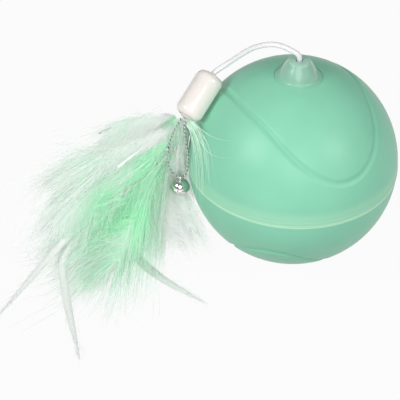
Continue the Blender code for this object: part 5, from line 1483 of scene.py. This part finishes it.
@dataclass
class FeatherTail:
    """All feathers of the tail."""

    feathers: tuple[Feather, ...]
    habit: Habit = Habit()
    root_height: float = 0.0013
    quill: float = 0.0012
    plume_twist: float = 30.0
    cover: float = 0.0004
    soft: float = 0.30
    plume_shaft: float = 0.00020
    plume_barb: float = 0.00009
    hackle_shaft: float = 0.00028
    hackle_barb: float = 0.00008
    hackle_crown: float = 0.22
    hackle_splay: float = 0.35
    web_rows: int = 150
    rim_rows: int = 12
    web_reach: float = 0.82
    web_uneven: float = 0.05
    web_wave: tuple[float, float] = (0.25, 0.2)
    web_cup: float = 0.15
    columns: int = 9
    lock_points: int = 12
    towards: Point = (0.0, -0.8, 0.6)
    finish: bpy.types.Material | None = None

    def shaft(self, feather: Feather, count: int = 120) -> tuple[np.ndarray, ...]:
        """The shaft's points and its directions.

        Args:
            feather: The feather.
            count: How many points.

        Returns:
            Points, directions along, across and off the vane, and the way that its soft barbs face.
        """
        root = MOUTH + LEAN_AXIS * self.root_height
        root += LEAN_LEFT * feather.root[0] * SOCKET + LEAN_BACK * feather.root[1] * SOCKET
        start = root + LEAN_AXIS * self.quill
        route = [root, start] + [MOUTH + Vector(share) * TAIL_SPAN for share in feather.route]
        line = np.array([list(p) for p in smooth_route(route, count)])
        along = unit(np.gradient(line, axis=0))
        plume = feather.kind is Kind.PLUME
        face = np.array([0.0, -math.cos(VIEW_TILT), math.sin(VIEW_TILT)] if plume else [0.0, 0.0, 1.0])
        across = unit(np.cross(along, face))
        normal = np.cross(across, along)
        twist = math.radians(self.plume_twist) if plume else 0.0
        turned_across = across * math.cos(twist) + np.cross(along, across) * math.sin(twist)
        return line, along, turned_across, np.cross(turned_across, along), normal

    def build(self) -> list[bpy.types.Object]:
        """Make every feather."""
        self.finish = FeatherDown("feather_down").build()
        return [self.plume(f) if f.kind is Kind.PLUME else self.hackle(f) for f in self.feathers]

    def curves(self, feather: Feather, share: np.ndarray, side: np.ndarray, grown: np.ndarray, opened: np.ndarray,
               rise: np.ndarray, sag: np.ndarray, steps: np.ndarray) -> tuple[np.ndarray, np.ndarray, np.ndarray]:
        """The paths of barbs.

        Args:
            feather: The feather.
            share: Where on the shaft each barb starts.
            side: To which side it grows, 1 or -1.
            grown: Its length, where 1 is usual.
            opened: How far it opens away from the shaft, where 1 is usual.
            rise: How far each of its points stands off the vane.
            sag: How much it hangs, where 1 is usual.
            steps: How far along the barb its points lie, from 0 to 1.

        Returns:
            The paths, and at each barb's start the direction across the vane and the way that it faces.
        """
        line, *ways = self.shaft(feather)
        where = share * (len(line) - 1)
        places = np.arange(len(line))
        spot, ahead, out, lift, face = (
            np.stack([np.interp(where, places, table[:, i]) for i in range(3)], axis=1) for table in (line, *ways))
        habit = self.habit
        reach = np.where(side > 0, *feather.reaches(share)) * grown * opened
        outward = reach[:, None] * (1.0 - (1.0 - steps) ** habit.outward)
        young = np.clip(share / habit.young_share, habit.youngest, 1.0)
        forward = (feather.run * grown * young * (2.0 - opened) ** 0.5)[:, None] * steps**habit.forward
        paths = (spot[:, None] + out[:, None] * (side[:, None] * outward)[..., None]
                 + ahead[:, None] * forward[..., None] + lift[:, None] * rise[..., None])
        length = np.linalg.norm(paths[:, -1] - paths[:, 0], axis=1)
        paths[:, :, 2] -= (feather.droop * sag * length)[:, None] * steps**habit.sag
        return paths, out, face

    def spread(self, feather: Feather, strands: Strands, low: float, stand: float, radius: float) -> None:
        """Grow barbs on both sides of a shaft, in clumps that share a lie and a dye.

        Args:
            feather: The feather.
            strands: Where the hairs go.
            low: Where along the shaft they start, as a share.
            stand: How far they stand off the vane.
            radius: The barb's radius at its root.
        """
        habit, count = self.habit, feather.barbs
        noise = np.random.default_rng(feather.seed * 101 + count)
        share = low + (feather.last - low) * noise.random(count)
        reaches = feather.reaches(share)
        side = np.where(noise.random(count) < reaches[0] / (reaches[0] + reaches[1]), 1.0, -1.0)
        clump = np.floor(share * habit.clumps + side * habit.clump_shift + habit.clump_blur * noise.random(count))
        clumps = np.random.default_rng(feather.seed).normal(0.0, 1.0, (200, 4))[clump.astype(int) + 20]
        stray = noise.random(count) < feather.wisps
        grown = 1.0 + habit.length * noise.normal(size=count) + habit.clump_length * clumps[:, 0]
        longer, longest = habit.stray_length
        grown = np.where(stray, grown * (longer + longest * noise.random(count)), grown)
        short = noise.random(count) < habit.shorts
        cut = np.where(short, habit.short_length + (1.0 - habit.short_length) * noise.random(count), 1.0)
        grown = np.clip(grown * cut, *habit.length_limits)
        opened = 1.0 + habit.opening * noise.normal(size=count) + habit.clump_opening * clumps[:, 1]
        opened = np.clip(opened, *habit.opening_limits)
        branch = noise.random(count) < habit.branches
        first = np.where(branch, habit.branch_start[0] + habit.branch_start[1] * noise.random(count), 0.0)[:, None]
        steps = first + (1.0 - first) * np.linspace(0.0, 1.0, habit.points)[None, :]
        usual, single, whole = habit.stand
        rise = stand * (usual + single * noise.normal(size=count) + whole * clumps[:, 2])[:, None] * steps
        low_layer, layers = habit.layer
        rise = rise + feather.half_thickness * (low_layer + layers * noise.random(count))[:, None] * (1.0 - steps)
        sag = 1.0 + habit.clump_sag * clumps[:, 3]
        hair, out, face = self.curves(feather, share, side, grown, opened, rise, sag, steps)
        length = np.linalg.norm(hair[:, -1] - hair[:, 0], axis=1)
        waves = steps * (habit.waves[0] + habit.waves[1] * noise.random(count))[:, None]
        curl = habit.curl * length[:, None] * np.sin(waves + 2 * np.pi * noise.random(count)[:, None])
        bend = noise.normal(size=(count, 3))
        bend -= habit.flat_curl * face * (bend * face).sum(axis=1, keepdims=True)
        hair += bend[:, None] * (curl - curl[:, :1])[..., None]
        aside = habit.scatter * noise.normal(size=count) * np.minimum(share * 8.0, 1.0)
        hair += out[:, None] * aside[:, None, None]
        fine = (1.0 - habit.taper * steps) * (1.0 - 0.6 * (first > 0.0) * (steps == first))
        thinnest, thicker = habit.thickness
        radii = radius * fine * (thinnest + thicker * noise.random(count))[:, None]
        dye = feather.dyed(share) * (1.0 + habit.dye * noise.normal(size=count) + habit.clump_dye * clumps[:, 0])
        grey = feather.grey + habit.grey * noise.normal(size=count) + habit.clump_grey * clumps[:, 1]
        dye, grey = (np.clip(part, 0.0, 1.0)[:, None] for part in (dye, grey))
        strands.add(hair, radii, face, tone(steps.shape, dye, grey, steps, share[:, None]), flat=habit.flatness)

    def loose(self, feather: Feather, strands: Strands) -> None:
        """Add the strands that leave the plume.

        Args:
            feather: The feather.
            strands: Where the hairs go.
        """
        noise = np.random.default_rng(feather.seed + 900)
        towards = np.array([self.towards])
        for lock in feather.locks:
            route = [MOUTH + Vector(share) * TAIL_SPAN for share in lock.route]
            base = np.array([list(p) for p in smooth_route(route, self.lock_points)])
            steps = np.linspace(0.0, 1.0, self.lock_points)[None, :, None]
            drift = noise.normal(size=(lock.count, 1, 3)) * lock.spread
            turns = noise.random((lock.count, 1, 3)) * 6.3 + steps * 4.0
            curl = np.sin(turns) - np.sin(turns[:, :1])
            paths = base[None] + drift * (lock.fan + steps) + curl * 0.25 * lock.spread
            stop = 1.0 if lock.count == 1 else 0.7
            grown = stop + (1.0 - stop) * noise.random((lock.count, 1, 1)) * 1.4
            paths = paths[:, :1] + (paths - paths[:, :1]) * grown
            radii = np.repeat(lock.radius * (1.0 - self.habit.taper * steps[..., 0]), lock.count, axis=0)
            dye = np.clip(lock.dye * (1.0 + 0.3 * noise.normal(size=(lock.count, 1))), 0.0, 1.0)
            tones = tone(paths.shape[:2], dye, 0.0, 0.3 * steps[..., 0], noise.random((lock.count, 1)))
            strands.add(paths, radii, np.repeat(towards, lock.count, axis=0), tones, flat=0.4)

    def web(self, feather: Feather, strands: Strands) -> None:
        """Lay the soft web of the short barbs under the long ones, as a thin sheet that thins out to its rim.

        Args:
            feather: The feather.
            strands: Where the sheet goes.
        """
        rows, rim = self.web_rows, self.rim_rows
        share = np.concatenate([np.linspace(0.03, feather.last, rows), np.full(rim, feather.last)])
        opened = np.concatenate([np.ones(rows), np.linspace(0.92, 0.02, rim)])
        wave = np.random.default_rng(feather.seed + 50).normal(0.0, 1.0, (4, 40))
        slow = [np.interp(np.linspace(0.0, 39.0, len(share)), np.arange(40), w) for w in wave]
        steps = np.linspace(0.0, 1.0, self.columns)[None, :]
        halves = []
        for side in (-1.0, 1.0):
            turn = np.full(len(share), side)
            wavy = self.web_wave[0] * slow[0] + self.web_wave[1] * side * slow[1]
            rise = feather.half_thickness * wavy[:, None] * steps**1.5
            grown = self.web_reach + self.web_uneven * slow[2 if side > 0 else 3]
            paths, out, face = self.curves(feather, share, turn, grown, opened, rise, np.ones(len(share)), steps)
            halves.append((paths, unit(face[:, None] + self.web_cup * side * out[:, None] * steps[..., None])))
        grid, ups = (np.concatenate([halves[0][i][:, :0:-1], halves[1][i]], axis=1) for i in (0, 1))
        along = np.concatenate([steps[:, :0:-1], steps], axis=1)
        thin = 0.9 * np.clip(4.0 * share / feather.last - 3.1, 0.0, 1.0) + 1.6 * (1.0 - opened)
        dye = np.clip(feather.dyed(share) * (1.0 + 0.12 * slow[0]), 0.0, 1.0)
        grey = np.clip(feather.grey + 0.10 * slow[1], 0.0, 1.0)
        # Above about 1 the finish lets the web fade out: at its rim, towards its end and past it.
        fade = 3.4 * along**2 - 0.4 + thin[:, None]
        strands.sheet(grid, ups, tone(grid.shape[:2], dye[:, None], grey[:, None], fade, share[:, None]))

    def rachis(self, feather: Feather, strands: Strands, radius: float, high: float = 0.97) -> None:
        """Add the feather's shaft.

        Args:
            feather: The feather.
            strands: Where the shaft goes.
            radius: Its radius at the root.
            high: How far along the feather it reaches, as a share.
        """
        line, _, _, normal, _ = self.shaft(feather)
        stop = int(len(line) * high)
        path = (line + normal * feather.half_thickness * 0.55 * np.linspace(0, 1, len(line))[:, None])[:stop:3][None]
        count = path.shape[1]
        radii = (radius * (1.0 - 0.8 * np.linspace(0, 1, count)))[None]
        strands.add(path, radii, normal[:1], tone((1, count), feather.dye[0][1] * 0.3, 0.0, 0.0, 0.0))

    def plume(self, feather: Feather) -> bpy.types.Object:
        """A loose plume.

        Args:
            feather: The feather.

        Returns:
            The dressed plume.
        """
        strands = Strands(cover=self.cover, soft=self.soft)
        self.rachis(feather, strands, self.plume_shaft, feather.last)
        self.web(feather, strands)
        self.spread(feather, strands, 0.02, 0.8 * feather.half_thickness, self.plume_barb)
        self.loose(feather, strands)
        return self.settle(strands.mesh(feather.node + "_down"), feather)

    def hackle(self, feather: Feather) -> bpy.types.Object:
        """A smooth, narrow satin hackle on a thin vane.

        Args:
            feather: The feather.

        Returns:
            The dressed hackle.
        """
        strands = Strands(cover=self.cover, soft=self.soft)
        self.rachis(feather, strands, self.hackle_shaft)
        line, _, across, normal, face = self.shaft(feather, 90)
        share = np.linspace(0.0, 1.0, len(line))
        wide = np.maximum(feather.half_width * np.sin(np.pi * np.minimum(share, 0.999) ** 1.9), 0.00012)
        place = np.linspace(-1.0, 1.0, self.columns)
        grid = line[:, None] + across[:, None] * (wide[:, None] * place)[..., None]
        grid = grid + normal[:, None] * (self.hackle_crown * wide[:, None] * (1.0 - place**2))[..., None]
        ups = unit(normal[:, None] + self.hackle_splay * place[None, :, None] * across[:, None])
        # Painted shade: each hackle's vane is grey, and greyer towards its edges.
        grey, fade = feather.grey + 0.6 * np.abs(place), -0.5 + 1.2 * np.abs(place) ** 3
        strands.sheet(grid, ups, tone(grid.shape[:2], 0.0, grey, fade, share[:, None]))
        self.spread(feather, strands, 0.10, 0.5 * feather.half_thickness, self.hackle_barb)
        return self.settle(strands.mesh(feather.node + "_vane"), feather)

    def settle(self, obj: bpy.types.Object, feather: Feather) -> bpy.types.Object:
        """Dress a feather and hand it to the tail.

        Args:
            obj: The feather's mesh.
            feather: The feather.

        Returns:
            The dressed feather.
        """
        dyed = max(share for _, share in feather.dye)
        slot = "mint" if dyed > 0.75 else "pale" if dyed > 0.5 else "white"
        return hand_over(obj, self.finish, feather.node, "tail")


FEATHERS = (
    Feather("upper_plume", Kind.PLUME, 0.0056, 0.0011, (0.74, 0.14),
            ((-0.150, 0.11, -0.105), (-0.422, 0.21, -0.229), (-0.825, 0.25, -0.489)),
            reach=((0.0, 0.0012, 0.0015), (0.23, 0.0012, 0.0050), (0.53, 0.0016, 0.0090), (0.75, 0.0030, 0.0100),
                   (1.0, 0.0020, 0.0080)),
            run=0.012, dye=((0.0, 0.6), (0.10, 0.5), (0.18, 0.05), (0.45, 0.2), (0.7, 0.25), (1.0, 0.15)), last=0.64,
            barbs=1900, droop=0.35, grey=0.0, seed=1),
    Feather("left_plume", Kind.PLUME, 0.0054, 0.0011, (0.43, 0.03),
            ((-0.150, 0.05, -0.175), (-0.506, 0.06, -0.401), (-1.050, 0.07, -0.813)),
            reach=((0.0, 0.0015, 0.0015), (0.19, 0.0030, 0.0040), (0.5, 0.0080, 0.0070), (0.8, 0.0080, 0.0070),
                   (1.0, 0.0040, 0.0040)),
            run=0.014, dye=((0.0, 0.05), (0.35, 0.1), (0.6, 0.3), (1.0, 0.15)), last=0.84, barbs=2400, droop=0.4,
            grey=0.05, seed=2,
            locks=(Lock(((-0.62, 0.02, -0.50), (-0.80, -0.05, -0.64), (-0.94, -0.13, -0.78), (-1.02, -0.24, -0.90)),
                        70, 0.0034, radius=0.00008, dye=0.15, fan=0.7),
                   Lock(((-0.66, -0.02, -0.66), (-0.83, -0.10, -0.82), (-0.95, -0.21, -0.93), (-1.02, -0.34, -1.01)),
                        50, 0.0030, radius=0.00008, dye=0.15, fan=0.7),
                   Lock(((-0.468, -0.092, -0.403), (-0.372, -0.057, -0.326), (-0.269, -0.018, -0.243)), radius=0.0005,
                        dye=0.0),)),
    Feather("lower_left_plume", Kind.PLUME, 0.0050, 0.0011, (0.14, -0.09),
            ((-0.136, 0.02, -0.237), (-0.514, -0.03, -0.541), (-1.044, -0.17, -1.013)),
            reach=((0.0, 0.0015, 0.0015), (0.2, 0.0040, 0.0040), (0.53, 0.0060, 0.0100), (0.8, 0.0060, 0.0080),
                   (1.0, 0.0030, 0.0050)),
            run=0.013, dye=((0.0, 0.3), (0.3, 0.95), (0.6, 0.6), (0.8, 0.2), (1.0, 0.0)), last=0.88, barbs=2400,
            droop=0.5, grey=0.05, seed=3,
            locks=(Lock(((-0.229, -0.068, -0.372), (-0.338, -0.132, -0.454), (-0.462, -0.171, -0.521),
                         (-0.615, -0.211, -0.588)), 60, 0.0026, dye=1.0, fan=1.0),
                   Lock(((-0.445, -0.219, -0.582), (-0.571, -0.240, -0.626), (-0.696, -0.272, -0.698)), 14, 0.0018,
                        dye=1.0, fan=1.0))),
    Feather("mint_plume", Kind.PLUME, 0.0068, 0.0018, (-0.46, 0.20),
            ((-0.104, 0.07, -0.297), (-0.236, -0.01, -0.577), (-0.376, -0.37, -0.837), (-0.542, -0.87, -1.045)),
            reach=((0.0, 0.0015, 0.0015), (0.2, 0.0060, 0.0040), (0.39, 0.0140, 0.0050), (0.52, 0.0180, 0.0080),
                   (0.60, 0.0190, 0.0020), (0.8, 0.0150, 0.0015)),
            run=0.019, dye=((0.0, 0.5), (0.15, 0.7), (0.5, 0.95), (0.62, 0.65), (1.0, 0.45)), last=0.77, barbs=3000,
            droop=0.5, grey=0.05, seed=4,
            locks=(Lock(((-0.15, 0.06, -0.50), (-0.21, -0.05, -0.80), (-0.25, -0.35, -1.00), (-0.25, -0.66, -1.08)),
                        150, 0.0030, radius=0.00008, dye=0.35, fan=0.4),
                   Lock(((-0.24, 0.0, -0.58), (-0.33, -0.20, -0.84), (-0.38, -0.50, -1.00), (-0.40, -0.85, -1.07)),
                        120, 0.0030, radius=0.00008, dye=0.5, fan=0.5))),
    Feather("right_plume", Kind.PLUME, 0.0045, 0.0013, (-0.34, 0.49),
            ((-0.055, 0.18, -0.297), (-0.160, 0.14, -0.597), (-0.130, -0.11, -0.877), (-0.064, -0.41, -1.010)),
            reach=((0.0, 0.0015, 0.0015), (0.27, 0.0030, 0.0030), (0.49, 0.0050, 0.0070), (0.76, 0.0060, 0.0110),
                   (1.0, 0.0020, 0.0080)),
            run=0.009, dye=((0.0, 0.1), (1.0, 0.0)), last=0.86, barbs=2000, droop=0.35, grey=0.0, seed=5,
            locks=(Lock(((-0.015, 0.038, -0.042), (-0.037, 0.022, -0.225), (-0.059, 0.008, -0.438),
                         (-0.051, -0.041, -0.662)), 160, 0.0018, dye=0.05),)),
    Feather("side_plume", Kind.PLUME, 0.0026, 0.0011, (-0.69, 0.46),
            ((-0.008, 0.20, -0.307), (-0.072, 0.13, -0.617), (-0.006, -0.07, -0.777), (0.120, -0.29, -0.881)),
            reach=((0.0, 0.0015, 0.0015), (0.31, 0.0020, 0.0060), (0.57, 0.0020, 0.0070), (0.78, 0.0020, 0.0050),
                   (1.0, 0.0020, 0.0030)),
            run=0.009, dye=((0.0, 0.7), (0.3, 0.5), (0.6, 0.15), (1.0, 0.05)), last=0.9, barbs=1100, grey=0.0,
            seed=6,
            locks=(Lock(((0.006, 0.014, -0.024), (0.079, -0.075, -0.024), (0.166, -0.168, -0.029),
                         (0.243, -0.265, 0.009), (0.320, -0.325, 0.045)), radius=0.00014),
                   Lock(((0.014, 0.010, -0.029), (0.075, -0.106, -0.080), (0.150, -0.233, -0.112),
                         (0.228, -0.340, -0.088), (0.325, -0.414, -0.036)), radius=0.00014),
                   Lock(((0.006, 0.014, -0.024), (0.061, -0.082, -0.098), (0.111, -0.237, -0.199),
                         (0.128, -0.364, -0.410)), 26, 0.0015, dye=0.5),
                   Lock(((0.013, 0.014, -0.023), (0.095, -0.100, -0.057), (0.163, -0.248, -0.100),
                         (0.207, -0.384, -0.257)), 10, 0.0016, dye=0.4),
                   Lock(((0.006, 0.019, -0.018), (0.043, -0.018, -0.033), (0.088, -0.096, -0.051)), 36, 0.0011,
                        dye=0.9))),
    # The hackles' grey of 0.6 paints shade over their white vanes.
    Feather("hackle_left", Kind.HACKLE, 0.0014, 0.0004, (-0.05, -0.45),
            ((-0.121, -0.01, -0.277), (-0.470, -0.06, -0.600), (-0.816, -0.23, -0.947), (-1.256, -0.93, -1.123)),
            last=0.97, barbs=700, wisps=0.02, droop=0.0, grey=0.6, seed=7),
    Feather("hackle_middle", Kind.HACKLE, 0.0015, 0.0004, (-0.42, -0.26),
            ((-0.114, -0.03, -0.317), (-0.476, -0.10, -0.697), (-0.816, -0.29, -1.017),
             (-0.796, -0.69, -1.097), (-0.656, -1.35, -1.123)),
            last=0.97, barbs=700, wisps=0.02, droop=0.0, grey=0.6, seed=8),
    Feather("hackle_right", Kind.HACKLE, 0.0020, 0.0004, (-0.06, 0.69),
            ((-0.086, 0.24, -0.297), (-0.226, 0.24, -0.697), (-0.356, 0.07, -1.017),
             (-0.336, -0.17, -1.107), (-0.136, -0.43, -1.121), (0.184, -0.68, -1.125)),
            reach=((0.0, 0.0002, 0.0002), (0.3, 0.0028, 0.0028), (1.0, 0.0004, 0.0004)),
            last=0.97, barbs=900, wisps=0.02, droop=0.0, grey=0.6, seed=9),
)


# ---------------------------------------------------------------- inside


@dataclass
class Inside:
    """The parts inside the ball: the frame's own nodes, given finishes."""

    finishes: dict[str, object] = field(default_factory=lambda: {
        "milky_shell": MouldedPlastic("milky_shell", tint(236, 240, 238), tint(220, 228, 226), 0.3, 0.00001, 0.0,
                                      0.002),
        "steel": Metal("steel", tint(186, 188, 192), tint(150, 150, 152), 0.26),
        "brass": Metal("brass", tint(214, 178, 104), tint(176, 140, 74), 0.24),
        "white_gear": MouldedPlastic("white_gear", tint(240, 238, 230), tint(222, 218, 206), 0.38),
        "pod_plastic": MouldedPlastic("pod_plastic", tint(206, 210, 214), tint(184, 190, 196), 0.42, 0.00002),
        "board_green": CircuitBoard(),
        "battery_sleeve": BatterySleeve(),
        "red_lamp": TintedLens(),
        "black_plastic": MouldedPlastic("black_plastic", tint(34, 34, 36), tint(58, 58, 60), 0.4, 0.00002),
        "red_lead": MouldedPlastic("red_lead", tint(190, 40, 36), tint(160, 30, 30), 0.35),
        "cord_white": MouldedPlastic("bead_white", tint(240, 238, 240), tint(222, 220, 226), 0.3),
    })
    nodes: dict[str, tuple[str, ...]] = field(default_factory=lambda: {
        "milky_shell": ("upper_shell", "lower_shell"),
        "steel": ("axle", "axle_clip", "drive_motor", "motor_shaft", "idler_pin", "counterweight", "usb_socket",
                  *(f"cover_screw_{i}" for i in range(1, 5)), *(f"board_screw_{i}" for i in range(1, 3))),
        "brass": ("upper_bush", "pod_bush"),
        "white_gear": ("fixed_gear", "motor_pinion", "idler_gear"),
        "pod_plastic": ("chassis_base", "chassis_cover"),
        "board_green": ("circuit_board",),
        "battery_sleeve": ("battery_cell",),
        "red_lamp": ("led_lamp_1", "led_lamp_2"),
        "black_plastic": ("power_switch", "power_button", "motor_lead_black", "battery_lead_black"),
        "red_lead": ("motor_lead_red", "battery_lead_red"),
        "cord_white": ("cord_anchor",),
    })

    def build(self) -> list[bpy.types.Object]:
        """Dress every node that is inside.

        Returns:
            The dressed nodes.
        """
        dressed = []
        for slot, finish in self.finishes.items():
            material = finish.build()
            for name in self.nodes[slot]:
                node = bpy.data.objects[name]
                for place in node.material_slots:
                    place.link = "OBJECT"
                    place.material = material
                dressed.append(node)
        return dressed


def main() -> None:
    """Build the object, piece by piece."""
    logging.basicConfig(level=logging.INFO, format="%(name)s: %(message)s")
    Studio().build()
    groups = {
        "cord": [TailCord().build()],
        "string": [BellString().build()],
        "skin": BallSkin().build(),
        "nipple": [Nipple().build()],
        "ferrule": Ferrule().build(),
        "bell": Bell().build(),
        "feathers": FeatherTail(FEATHERS).build(),
        "inside": Inside().build(),
    }
    for group, pieces in groups.items():
        for piece in pieces:
            LOG.info("%s: %s", group, piece.name)
    deselect()


if __name__ == "__main__":
    main()
